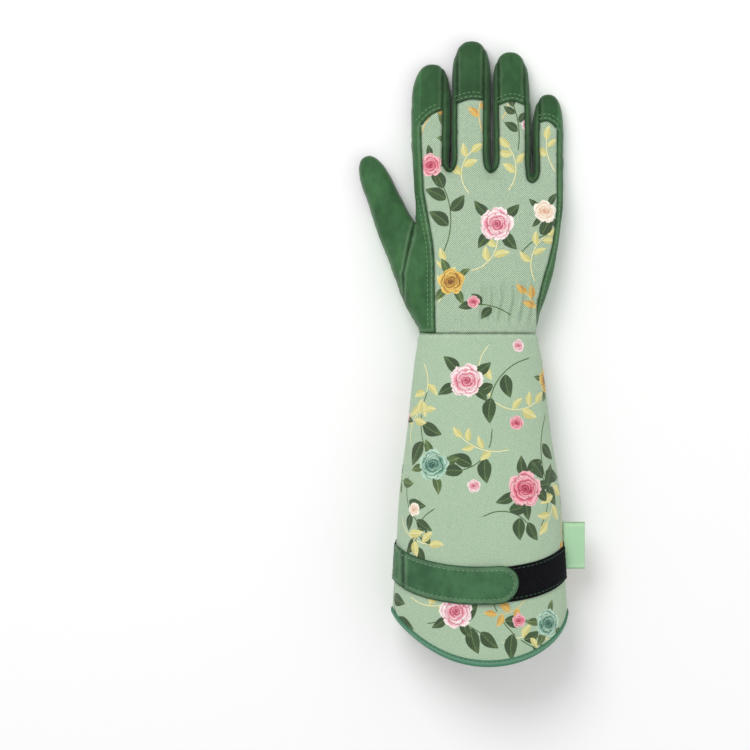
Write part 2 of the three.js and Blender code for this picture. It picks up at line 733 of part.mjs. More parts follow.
const other_rooms = [
  prism(fabricOutline(), half_gap).intersect(above_grown),
  ...FINGERS.map((finger) => prism(capOutline(finger), half_gap).intersect(above_grown)),
  ...FINGERS.slice(1).map((second, i) =>
    prism(fourchetteOutline(FINGERS[i], second), half_gap).intersect(above_grown),
  ),
  ...touch_tips.map((tip) => prism(tip.outline, half_gap).intersect(below_grown)),
  prism(gussetOutline(), half_gap).intersect(below_grown),
  prism(thumb.back, half_gap).intersect(above_grown),
  prism(thumb.palm, half_gap).intersect(below_grown),
];
addPanel("palm_leather", "leather", other_rooms.reduce((left, room) => left.subtract(room), shell));

const pad_space = palmSolid(0, SEAM_GAP + PAD_THICKNESS)
  .subtract(palmSolid(0, SEAM_GAP))
  .subtract(joined(FINGERS.map((finger) => fingerSolid(finger, -SEAM_GAP))));
addPanel("palm_pad", "leather", pad_space.intersect(prism(PALM_PAD_OUTLINE.map(handPoint))).intersect(below));

const cuff_wall = (out, into, back, start) =>
  cuffSolid(() => out)
    .subtract(cuffSolid(() => -into))
    .intersect(prism(cuffPlan(back, start)));
addPanel("cuff", "canvas", cuff_wall(0, CANVAS_WALL, BINDING_WALL + SEAM_GAP));

// The binding folds over the hem: a thicker rim with a groove for the cuff's edge
const rim = cuff_wall(SEAM_GAP + BINDING_WALL, CANVAS_WALL + SEAM_GAP + BINDING_WALL, 0);
const rim_upper = prism(cuffPlan(BINDING_WIDTH));
const groove = cuff_wall(SEAM_GAP, CANVAS_WALL + SEAM_GAP, BINDING_WALL);
addPanel("hem_binding", "binding", rim.subtract(rim_upper).subtract(groove));

const over_cuff = aboveCuffSeam();
const loop_space = cuffSolid(() => SEAM_GAP + LOOP_THICKNESS).subtract(cuffSolid(() => SEAM_GAP));
const loop_plan = bandPlan(STRAP_END - STRAP_LAP, HEM_WIDTH * 0.6, STRAP_WIDTH, 0);
addPanel("loop_strip", "loop_pile", loop_space.intersect(prism(loop_plan)).intersect(over_cuff));
const strap_space = cuffSolid((x) => strapRise(x) + STRAP_THICKNESS).subtract(cuffSolid(strapRise));
const strap_plan = bandPlan(-HEM_WIDTH * 0.6, STRAP_END, STRAP_WIDTH, STRAP_WIDTH / 2);
addPanel("closure_strap", "dark_leather", strap_space.intersect(prism(strap_plan)).intersect(over_cuff));

const label_root = cuffReach(LABEL_DOWN) + SEAM_GAP;
const label = new THREE.BoxGeometry(LABEL_WIDTH, LABEL_LENGTH, LABEL_THICKNESS);
label.translate(label_root + LABEL_WIDTH / 2, -LABEL_DOWN, cuffMiddle(LABEL_DOWN) - LABEL_THICKNESS);
const around_cuff = joined([cuffSolid(() => SEAM_GAP), cuffSolid(() => SEAM_GAP + LOOP_THICKNESS + SEAM_GAP).intersect(over_cuff)]);
addPanel("side_label", "label_tape", solidFrom(label).subtract(around_cuff));

const LOOKS = {
  canvas: { color: 0xa9c3a4, roughness: 0.85, metalness: 0 },
  leather: { color: 0x4f9158, roughness: 0.75, metalness: 0 },
  dark_leather: { color: 0x3a6b42, roughness: 0.7, metalness: 0 },
  touch_leather: { color: 0x1c1d24, roughness: 0.5, metalness: 0 },
  binding: { color: 0x3f7f66, roughness: 0.7, metalness: 0 },
  loop_pile: { color: 0x0c0c10, roughness: 0.95, metalness: 0 },
  label_tape: { color: 0x9ccf9c, roughness: 0.6, metalness: 0 },
};

const glove = new THREE.Group();
for (const { name, look, solid } of panels) {
  const mesh = new THREE.Mesh(geometryFrom(solid), new THREE.MeshStandardMaterial(LOOKS[look]));
  mesh.name = name;
  glove.add(mesh);
}

// Stand the glove with the centre of its base at the origin
const box = new THREE.Box3().setFromObject(glove);
glove.position.set(-(box.min.x + box.max.x) / 2, -(box.min.y + box.max.y) / 2, -box.min.z);

export default glove;
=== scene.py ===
"""A right-hand gardening glove with a long printed cuff, lying palm down.

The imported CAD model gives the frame. Every piece here is a dressed version of one of its solids.
"""

import logging
import math
from dataclasses import dataclass, field, replace
from enum import Enum
from functools import cached_property
from typing import Callable, Sequence

import bpy
import numpy as np
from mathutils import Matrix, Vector
from mathutils.bvhtree import BVHTree
from mathutils.kdtree import KDTree


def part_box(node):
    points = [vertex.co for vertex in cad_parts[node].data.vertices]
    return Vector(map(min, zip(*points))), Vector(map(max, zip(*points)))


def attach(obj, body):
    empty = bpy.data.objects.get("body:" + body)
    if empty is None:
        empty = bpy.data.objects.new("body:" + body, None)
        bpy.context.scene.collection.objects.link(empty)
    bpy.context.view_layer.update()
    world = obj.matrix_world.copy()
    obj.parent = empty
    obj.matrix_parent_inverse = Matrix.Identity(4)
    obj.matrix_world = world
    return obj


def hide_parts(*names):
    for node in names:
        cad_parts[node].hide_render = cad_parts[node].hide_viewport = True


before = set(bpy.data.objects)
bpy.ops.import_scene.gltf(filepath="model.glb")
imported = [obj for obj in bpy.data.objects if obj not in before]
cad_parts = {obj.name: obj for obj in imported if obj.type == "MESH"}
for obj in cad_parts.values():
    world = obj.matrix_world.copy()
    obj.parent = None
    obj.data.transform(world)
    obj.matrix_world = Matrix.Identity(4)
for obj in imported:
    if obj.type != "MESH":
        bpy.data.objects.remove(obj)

log = logging.getLogger("glove")
logging.basicConfig(level=logging.INFO, format="%(name)s: %(message)s")

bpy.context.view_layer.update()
MM = 0.001
ROOT = "root"
SEAM_REACH = 20.0
QUIET_REACH = 0.8

Points = np.ndarray
Place = Callable[[np.ndarray, np.ndarray], np.ndarray]
Table = Sequence[tuple[float, float]]
Items = bpy.types.bpy_prop_collection


# Measures


@dataclass(frozen=True)
class Workbench:
    """Where the pattern's own origin, the middle of the wrist seam, lies in the row frame."""

    seam_gap: float = 0.3
    hem_shift: float = 1.4

    @cached_property
    def origin(self) -> np.ndarray:
        """The origin of the pattern in the row frame, in millimetres."""
        low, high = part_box("cuff")
        return np.array([(low.x + high.x) / 2 / MM - self.hem_shift, high.y / MM + self.seam_gap / 2, 0.0])

    def to_row(self, points: Points) -> Points:
        """Takes pattern points in millimetres to the row frame in metres.

        Args:
            points: pattern points, one in each row.

        Returns:
            The same points in the row frame.
        """
        return (points + self.origin) * MM

    def from_row(self, points: Points) -> Points:
        """Takes row frame points in metres to the pattern in millimetres."""
        return points / MM - self.origin


BENCH = Workbench()


def eased(table: Table, at: np.ndarray) -> np.ndarray:
    """Reads a short table along a smooth line that never overshoots.

    Args:
        table: pairs of place and value, in order of place.
        at: the places to read.

    Returns:
        The value at each place.
    """
    xs, ys = np.array(table, float).T
    slope = np.diff(ys) / np.diff(xs)
    both = slope[:-1] * slope[1:] > 0
    inner = np.where(both, 2 * slope[:-1] * slope[1:] / np.where(both, slope[:-1] + slope[1:], 1), 0)
    tangent = np.concatenate([[slope[0]], inner, [slope[-1]]])
    i = np.clip(np.searchsorted(xs, at) - 1, 0, len(xs) - 2)
    h = xs[i + 1] - xs[i]
    t = np.clip((np.asarray(at) - xs[i]) / h, 0, 1)
    return (
        (2 * t**3 - 3 * t**2 + 1) * ys[i]
        + (t**3 - 2 * t**2 + t) * h * tangent[i]
        + (3 * t**2 - 2 * t**3) * ys[i + 1]
        + (t**3 - t**2) * h * tangent[i + 1]
    )


def smooth_step(low: float, high: float, at: np.ndarray) -> np.ndarray:
    """Rises smoothly from 0 at low to 1 at high."""
    t = np.clip((np.asarray(at) - low) / (high - low), 0, 1)
    return t * t * (3 - 2 * t)


def hump(at: np.ndarray, middle: float, width: float) -> np.ndarray:
    """A soft hump of height 1 round a place."""
    return np.exp(-(((np.asarray(at) - middle) / width) ** 2))


def rounded(points: Sequence[Sequence[float]], steps: int = 8) -> np.ndarray:
    """A smooth line through plan points.

    Args:
        points: the plan points that it passes through.
        steps: how many lengths each stretch between two points gets.

    Returns:
        The points of the line.
    """
    p = np.array(points, float)
    padded = np.vstack([2 * p[0] - p[1], p, 2 * p[-1] - p[-2]])
    line = []
    for i in range(1, len(padded) - 2):
        a, b, c, d = padded[i - 1 : i + 3]
        square, cube = 2 * a - 5 * b + 4 * c - d, 3 * b - a - 3 * c + d
        for t in np.arange(steps) / steps:
            line.append(0.5 * (2 * b + (c - a) * t + square * t**2 + cube * t**3))
    return np.array([*line, p[-1]])


def evenly(line: np.ndarray, step: float) -> np.ndarray:
    """The points of a line again, at even steps along it."""
    lengths = np.concatenate([[0], np.cumsum(np.linalg.norm(np.diff(line, axis=0), axis=1))])
    count = max(int(round(lengths[-1] / step)), 1)
    at = np.linspace(0, lengths[-1], count + 1)
    return np.column_stack([np.interp(at, lengths, line[:, k]) for k in range(line.shape[1])])


def beside(line: np.ndarray, distance: float) -> np.ndarray:
    """A line to the left of another, as seen along it, at a distance in the plan."""
    way = np.gradient(line, axis=0)
    way /= np.linalg.norm(way, axis=1)[:, None] + 1e-9
    return line + distance * np.column_stack([-way[:, 1], way[:, 0]])


def line_distance(line: np.ndarray, at: np.ndarray, closed: bool = False, reach: float = 14.0) -> np.ndarray:
    """How far each plan point is from a line, up to a reach."""
    ends = np.roll(line, -1, axis=0) if closed else line[1:]
    starts = line if closed else line[:-1]
    order = np.argsort(at[:, 1])
    p = at[order]
    lows = np.searchsorted(p[:, 1], np.minimum(starts[:, 1], ends[:, 1]) - reach)
    highs = np.searchsorted(p[:, 1], np.maximum(starts[:, 1], ends[:, 1]) + reach)
    best = np.full(len(at), reach**2)
    for a, b, i, j in zip(starts, ends, lows, highs):
        ab, near = b - a, p[i:j] - a
        t = np.clip((near @ ab) / max(ab @ ab, 1e-9), 0, 1)
        best[i:j] = np.minimum(best[i:j], ((near - t[:, None] * ab) ** 2).sum(1))
    distance = np.empty(len(at))
    distance[order] = np.sqrt(best)
    return distance


def inside(outline: np.ndarray, at: np.ndarray, reach: float = 9.0) -> np.ndarray:
    """How far each plan point lies inside an outline, and below 0 outside it.

    Args:
        outline: the outline's points in order.
        at: the plan points.
        reach: the distance beyond which the answer only keeps its sign.

    Returns:
        The signed distance of each point.
    """
    order = np.argsort(at[:, 1])
    x, y = at[order, 0], at[order, 1]
    crossings = np.zeros(len(at), int)
    for a, b in zip(outline, np.roll(outline, -1, axis=0)):
        if a[1] != b[1]:
            i, j = np.searchsorted(y, sorted((a[1], b[1])))
            crossings[i:j] += x[i:j] < (b[0] - a[0]) * (y[i:j] - a[1]) / (b[1] - a[1]) + a[0]
    sign = np.empty(len(at))
    sign[order] = np.where(crossings % 2 == 1, 1.0, -1.0)
    return sign * line_distance(outline, at, True, reach)


# Meshes


def read_all(items: Items, key: str, width: int = 1, kind: type = float) -> np.ndarray:
    """Reads one property of all of a mesh's points, edges, corners or faces.

    Args:
        items: the points, edges, corners or faces.
        key: the property.
        width: how many numbers it holds.
        kind: whether they are int or float.

    Returns:
        The numbers, in rows where there are several for each item.
    """
    values = np.empty(len(items) * width, kind)
    items.foreach_get(key, values)
    return values.reshape(-1, width) if width > 1 else values


@dataclass
class Skin:
    """A surface of triangles in the pattern's millimetres, which can be cut along a seam."""

    points: np.ndarray
    faces: np.ndarray
    snap: float = 0.16

    @classmethod
    def of(cls, piece: bpy.types.Object) -> "Skin":
        """Reads an object's mesh."""
        piece.data.calc_loop_triangles()
        points = read_all(piece.data.vertices, "co", 3)
        return cls(BENCH.from_row(points), read_all(piece.data.loop_triangles, "vertices", 3, int))

    def plan(self) -> np.ndarray:
        """The points seen from above."""
        return self.points[:, :2]

    def kept(self, chosen: np.ndarray) -> "Skin":
        """The skin of the chosen faces alone."""
        faces = self.faces[chosen]
        used, index = np.unique(faces, return_inverse=True)
        return Skin(self.points[used], index.reshape(-1, 3))

    @classmethod
    def merged(cls, *skins: "Skin") -> "Skin":
        """Several skins as one, with the points that they share merged."""
        bases = np.cumsum([0] + [len(skin.points) for skin in skins])
        points = np.vstack([skin.points for skin in skins])
        faces = np.vstack([skin.faces + base for skin, base in zip(skins, bases)])
        _, first, back = np.unique(np.round(points, 4), axis=0, return_index=True, return_inverse=True)
        return cls(points[first], back.reshape(-1)[faces])

    def cut(self, values: np.ndarray) -> tuple["Skin", "Skin"]:
        """Cuts the skin where a value crosses 0.

        Args:
            values: the value at each point.

        Returns:
            The part above 0 and the part below.
        """
        f = np.where(np.abs(values) < self.snap, 0, values)
        signs = np.sign(f)[self.faces]
        mixed = (signs.max(1) > 0) & (signs.min(1) < 0)
        points, made = [*self.points], {}

        def crossing(i: int, j: int) -> int:
            """The point where the edge from i to j crosses 0."""
            key = (min(i, j), max(i, j))
            if key not in made:
                t = f[key[0]] / (f[key[0]] - f[key[1]])
                made[key] = len(points)
                points.append(points[key[0]] * (1 - t) + points[key[1]] * t)
            return made[key]

        above, below = [], []
        for face in self.faces[mixed]:
            side = np.sign(f[face])
            if (side == 0).any():
                k = int(np.argmin(np.abs(side)))
                a, b, c = np.roll(face, -k)
                m = crossing(b, c)
                first, second = ([a, b, m], [a, m, c]) if f[b] > 0 else ([a, m, c], [a, b, m])
                above.append(first)
                below.append(second)
                continue
            k = int(np.argmax(side == -np.sign(side.sum())))
            a, b, c = np.roll(face, -k)
            m, n = crossing(a, b), crossing(a, c)
            lone, pair = [[a, m, n]], [[m, b, c], [m, c, n]]
            (above if f[a] > 0 else below).extend(lone)
            (below if f[a] > 0 else above).extend(pair)
        sides = []
        for whole, made_faces in ((signs.max(1) > 0, above), (signs.max(1) <= 0, below)):
            faces = np.vstack([self.faces[~mixed & whole], np.array(made_faces, int).reshape(-1, 3)])
            sides.append(Skin(np.array(points), faces).kept(np.full(len(faces), True)))
        return tuple(sides)

    def normals(self) -> np.ndarray:
        """The outward direction at each point."""
        a, b, c = (self.points[self.faces[:, k]] for k in range(3))
        face = np.cross(b - a, c - a)
        total = np.zeros_like(self.points)
        for k in range(3):
            np.add.at(total, self.faces[:, k], face)
        return total / (np.linalg.norm(total, axis=1)[:, None] + 1e-12)

    def piece(self, name: str) -> bpy.types.Object:
        """Makes the skin an object of the scene."""
        mesh = bpy.data.meshes.new(name)
        mesh.from_pydata(BENCH.to_row(self.points).tolist(), [], self.faces.tolist())
        made = bpy.data.objects.new(name, mesh)
        bpy.context.scene.collection.objects.link(made)
        return made


def alone(*pieces: bpy.types.Object) -> None:
    """Selects these objects and nothing else, the first of them active."""
    bpy.ops.object.select_all(action="DESELECT")
    for piece in pieces:
        piece.select_set(True)
    bpy.context.view_layer.objects.active = pieces[0]


def corner_points(piece: bpy.types.Object) -> np.ndarray:
    """The number of the point at each corner of a mesh's faces."""
    return read_all(piece.data.loops, "vertex_index", kind=int)


def write_corners(piece: bpy.types.Object, name: str, values: np.ndarray) -> None:
    """Keeps a vector at each corner of a mesh, for its material."""
    attribute = piece.data.attributes.new(name, "FLOAT_VECTOR", "CORNER")
    attribute.data.foreach_set("vector", values.astype(np.float32).ravel())


def write_points(piece: bpy.types.Object, name: str, values: np.ndarray) -> None:
    """Keeps a number at each point of a mesh, for its material."""
    attribute = piece.data.attributes.new(name, "FLOAT", "POINT")
    attribute.data.foreach_set("value", values.astype(np.float32))


def seamed(
    piece: bpy.types.Object, distance: np.ndarray | None = None, quiet: Sequence[np.ndarray] = ()
) -> bpy.types.Object:
    """Keeps how far each point of a skin is from its sewn edge, in millimetres, for its material's painted
    seam shade and highlight.

    Args:
        piece: the skin, before it has its wall.
        distance: the distance from further seams at each point.
        quiet: plan lines along which the edge doesn't show, and so gets no painted shade and highlight.

    Returns:
        The piece.
    """
    mesh = piece.data
    used = read_all(mesh.loops, "edge_index", kind=int)
    open_edges = np.bincount(used, minlength=len(mesh.edges)) == 1
    rim = np.unique(read_all(mesh.edges, "vertices", 2, int)[open_edges])
    points = read_all(mesh.vertices, "co", 3)
    seam = np.full(len(points), SEAM_REACH)
    if quiet and len(rim):
        plan = BENCH.from_row(points[rim])[:, :2]
        rim = rim[np.all([line_distance(line, plan) > QUIET_REACH for line in quiet], axis=0)]
    if len(rim):
        tree = KDTree(len(rim))
        for k, point in enumerate(points[rim]):
            tree.insert(point, k)
        tree.balance()
        seam = np.array([tree.find(point)[2] for point in points]) / MM
    if distance is not None:
        seam = np.minimum(seam, distance)
    write_points(piece, "seam", np.minimum(seam, SEAM_REACH))
    return piece


def wrapped(name: str, across: int, along: int, place: Place) -> bpy.types.Object:
    """Adds a flat grid and lays its points where a pattern says.

    Args:
        name: the piece's name.
        across: the number of steps in u.
        along: the number of steps in v.
        place: gives the pattern points in millimetres for u and v from 0 to 1.

    Returns:
        The new object, at the origin of the row frame.
    """
    bpy.ops.object.select_all(action="DESELECT")
    bpy.ops.mesh.primitive_grid_add(x_subdivisions=across, y_subdivisions=along, size=1)
    piece = bpy.context.object
    piece.name = piece.data.name = name
    flat = read_all(piece.data.vertices, "co", 3)
    flat[:, :2] += 0.5
    write_corners(piece, "pattern", flat[corner_points(piece)])
    points = BENCH.to_row(place(flat[:, 0], flat[:, 1]))
    piece.data.vertices.foreach_set("co", points.astype(np.float32).ravel())
    piece.data.update()
    return piece


def mended(
    piece: bpy.types.Object, weld: float = 2e-6, filled: bool = False, outward: bool = True
) -> bpy.types.Object:
    """Puts a mesh made of a grid in order.

    Args:
        piece: the piece.
        weld: how close points are merged, in metres.
        filled: whether its open ends are filled.
        outward: whether its faces are turned out.

    Returns:
        The piece.
    """
    alone(piece)
    bpy.ops.object.mode_set(mode="EDIT")
    bpy.ops.mesh.select_all(action="SELECT")
    if weld:
        bpy.ops.mesh.remove_doubles(threshold=weld)
    if filled:
        bpy.ops.mesh.select_all(action="DESELECT")
        bpy.ops.mesh.select_mode(type="EDGE")
        bpy.ops.mesh.select_non_manifold()
        bpy.ops.mesh.edge_face_add()
        bpy.ops.mesh.select_all(action="SELECT")
    if outward:
        bpy.ops.mesh.normals_make_consistent(inside=False)
    bpy.ops.object.mode_set(mode="OBJECT")
    return piece


def applied(piece: bpy.types.Object, kind: str, **settings: object) -> bpy.types.Object:
    """Adds a modifier to a piece, sets it and applies it."""
    alone(piece)
    modifier = piece.modifiers.new(kind.lower(), kind)
    for key, value in settings.items():
        setattr(modifier, key, value)
    bpy.ops.object.modifier_apply(modifier=modifier.name)
    return piece


def walled(piece: bpy.types.Object, wall: float, lining: int = 0, rim: int = 0) -> bpy.types.Object:
    """Gives a skin its thickness, inwards.

    Args:
        piece: the skin.
        wall: the thickness in millimetres.
        lining: how many materials further on the inside's material is.
        rim: how many materials further on the edge's material is.

    Returns:
        The piece.
    """
    return applied(
        piece,
        "SOLIDIFY",
        thickness=wall * MM,
        offset=-1,
        use_even_offset=False,
        material_offset=lining,
        material_offset_rim=rim,
    )


def soft_shaded(piece: bpy.types.Object, angle: float = 50) -> bpy.types.Object:
    """Smooths the shading, except over edges sharper than an angle in degrees."""
    alone(piece)
    bpy.ops.object.shade_smooth_by_angle(angle=math.radians(angle))
    return piece


def painted(piece: bpy.types.Object, *materials: bpy.types.Material) -> bpy.types.Object:
    """Gives a piece its materials, the outside's first."""
    for material in materials:
        piece.data.materials.append(material)
    return piece


def finished(piece: bpy.types.Object, node: str | None = None) -> bpy.types.Object:
    """Gives a piece its place on the glove.

    Args:
        piece: the piece.
        node: the CAD node that it stands for.

    Returns:
        The piece.
    """
    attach(piece, ROOT)
    if node:
        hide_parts(node)
    triangles = sum(len(face.vertices) - 2 for face in piece.data.polygons)
    log.info("%s: %d triangles", piece.name, triangles)
    return piece


# The hand


def section(
    u: np.ndarray, left: np.ndarray, right: np.ndarray, bottom: np.ndarray, top: np.ndarray
) -> tuple[np.ndarray, np.ndarray]:
    """A point round an upright section that is rounder above and flattened below.

    Args:
        u: the place round the section, from 0 to 1, starting on the right and going over the back.
        left: plan points of the left end.
        right: plan points of the right end.
        bottom: the height of the underside.
        top: the height of the back.

    Returns:
        The share across, from -1 to 1, and the pattern points.
    """
    angle = 2 * math.pi * u
    s, c = np.sin(angle), np.cos(angle)
    power = np.where(s >= 0, 2 / 2.2, 2 / 2.7)
    across = np.sign(c) * np.abs(c) ** power
    high = np.sign(s) * np.abs(s) ** power
    half = (top - bottom) / 2
    z = (bottom + top) / 2 + high * half * np.where(high < 0, 1.1, 1)
    plan = (left + right) / 2 + (right - left) / 2 * across[:, None]
    return across, np.column_stack([plan, np.maximum(z, bottom)])


@dataclass(frozen=True)
class Digit:
    """A finger or the thumb, with its axis in the plan and its sizes in millimetres."""

    name: str
    root: tuple[float, float]
    length: float
    width: float
    root_width: float
    thickness: float
    lean: float = 0.0
    bend: float = 0.0
    strip: tuple[float, float] = (0.0, 0.0)
    cap: tuple[float, float, float] = (0.0, 0.0, 0.0)
    touch: float = 0.0
    tip_round: float = 27.0
    tip_squareness: float = 2.4
    palm_lift: float = 2.7

    def at(self, across: np.ndarray, along: np.ndarray) -> np.ndarray:
        """The plan point at a distance across and along the digit."""
        lean = math.radians(self.lean)
        across, along = np.broadcast_arrays(np.asarray(across, float), np.asarray(along, float))
        x = across + self.bend * np.maximum(along / self.length, 0) ** 3
        return np.stack(
            [
                self.root[0] + x * math.cos(lean) + along * math.sin(lean),
                self.root[1] - x * math.sin(lean) + along * math.cos(lean),
            ],
            axis=-1,
        )

    def own(self, plan: np.ndarray) -> np.ndarray:
        """Plan points as distances across and along the digit."""
        s, c = math.sin(math.radians(self.lean)), math.cos(math.radians(self.lean))
        x, y = (plan - np.array(self.root)).T
        return np.column_stack([x * c - y * s, x * s + y * c])

    def shaft(self, along: np.ndarray) -> tuple[np.ndarray, ...]:
        """The two half widths, the underside and the top of the digit before its tip."""
        half, root, ready = self.width / 2, self.root_width / 2, (self.length - self.tip_round) * 0.6
        widths = [(-30, root * 0.78), (-12, root * 0.97), (0, root), (ready, half), (self.length, half)]
        wide = eased(widths, along)
        low = eased([(-30, 1.6 * self.palm_lift), (-12, self.palm_lift), (0, 0.3), (12, 0.0)], along)
        high = eased([(-30, 4.5), (-12, 4.05), (0, 2.25), (ready, 0.0)], along) + self.thickness
        return wide, wide, low, high

    def start(self) -> float:
        """Where the tube starts, in the palm."""
        return -30.0

    def tip_half_width(self) -> float:
        """Half the width where the tip's rounding begins."""
        return self.width / 2

    def place(self, u: np.ndarray, v: np.ndarray) -> np.ndarray:
        """Lays the tube: round the digit in u, and from the palm to the tip in v."""
        share_of_shaft = 0.68
        phi = np.clip((v - share_of_shaft) / (1 - share_of_shaft), 0, 1) * math.pi / 2
        back = 1 - np.sin(phi) ** (2 / self.tip_squareness)
        share = np.cos(phi) ** (2 / self.tip_squareness)
        shaft_end = self.length - self.tip_round
        along = np.where(
            v < share_of_shaft,
            self.start() + (shaft_end - self.start()) * v / share_of_shaft,
            self.length - back * self.tip_round,
        )
        outer, inner, low, high = self.shaft(np.minimum(along, shaft_end))
        in_tip = v > share_of_shaft
        half_wide = self.tip_half_width() * share
        half_thick = self.thickness / 2 * (0.84 + 0.16 * back) * share**0.8
        left = self.at(np.where(in_tip, -half_wide, -outer), along)
        right = self.at(np.where(in_tip, half_wide, inner), along)
        low = np.where(in_tip, self.thickness / 2 - half_thick, low)
        high = np.where(in_tip, self.thickness / 2 + half_thick, high)
        return section(u, left, right, low, high)[1]

    def strip_edges(self) -> tuple[float, float]:
        """The two edges of the back fabric, as distances across."""
        return -self.width / 2 + self.strip[0], self.width / 2 - self.strip[1]

    def cap_seam(self) -> np.ndarray:
        """The cap's seam over the back, from the thumb side to the little-finger side."""
        low, high = self.strip_edges()
        back = self.length - np.array(self.cap)
        return rounded(self.at(np.array([low, (low + high) / 2, high]), back), 6)


@dataclass(frozen=True)
class Thumb(Digit):
    """The thumb, with its broad base set into the palm."""

    base_width: float = 30.0
    base_depth: float = 66.0
    base_thickness: float = 32.0
    tip_width: float = 19.2

    def start(self) -> float:
        """Where the tube starts, in the palm."""
        return -self.base_depth

    def tip_half_width(self) -> float:
        """Half the width where the tip's rounding begins."""
        return self.tip_width / 2

    def shaft(self, along: np.ndarray) -> tuple[np.ndarray, ...]:
        """The two half widths, the underside and the top of the thumb before its tip."""
        d, w, end = self.base_depth, self.base_width, self.length - self.tip_round
        depths = [-d, -0.86 * d, -0.67 * d, -0.42 * d, -0.2 * d, 0]
        outer = list(zip(depths, (0.38, 0.43, 0.46, 0.425, 0.41, 0.4)))
        inner = list(zip(depths, (0.02, 0.2, 0.42, 0.56, 0.53, 0.41)))
        thick = list(zip(depths, (0.9, 0.95, 1, 0.85, 0.52, 0.22)))
        lift = [(-d, 1.2), (-0.67 * d, 1.1), (-0.42 * d, 1), (-0.2 * d, 0.8), (0, 0.1), (end, 0)]
        tip = self.tip_width / 2
        outer_mm = eased([(a, s * w) for a, s in outer] + [(end, tip)], along)
        inner_mm = eased([(a, s * w) for a, s in inner] + [(end, tip)], along)
        rise = self.base_thickness - self.thickness
        high = self.thickness + rise * eased([*thick, (end, 0.0)], along)
        return outer_mm, inner_mm, self.palm_lift * eased(lift, along), high


class Half(Enum):
    """The two halves of the hand, above and below the side seam."""

    BACK = 1
    PALM = -1


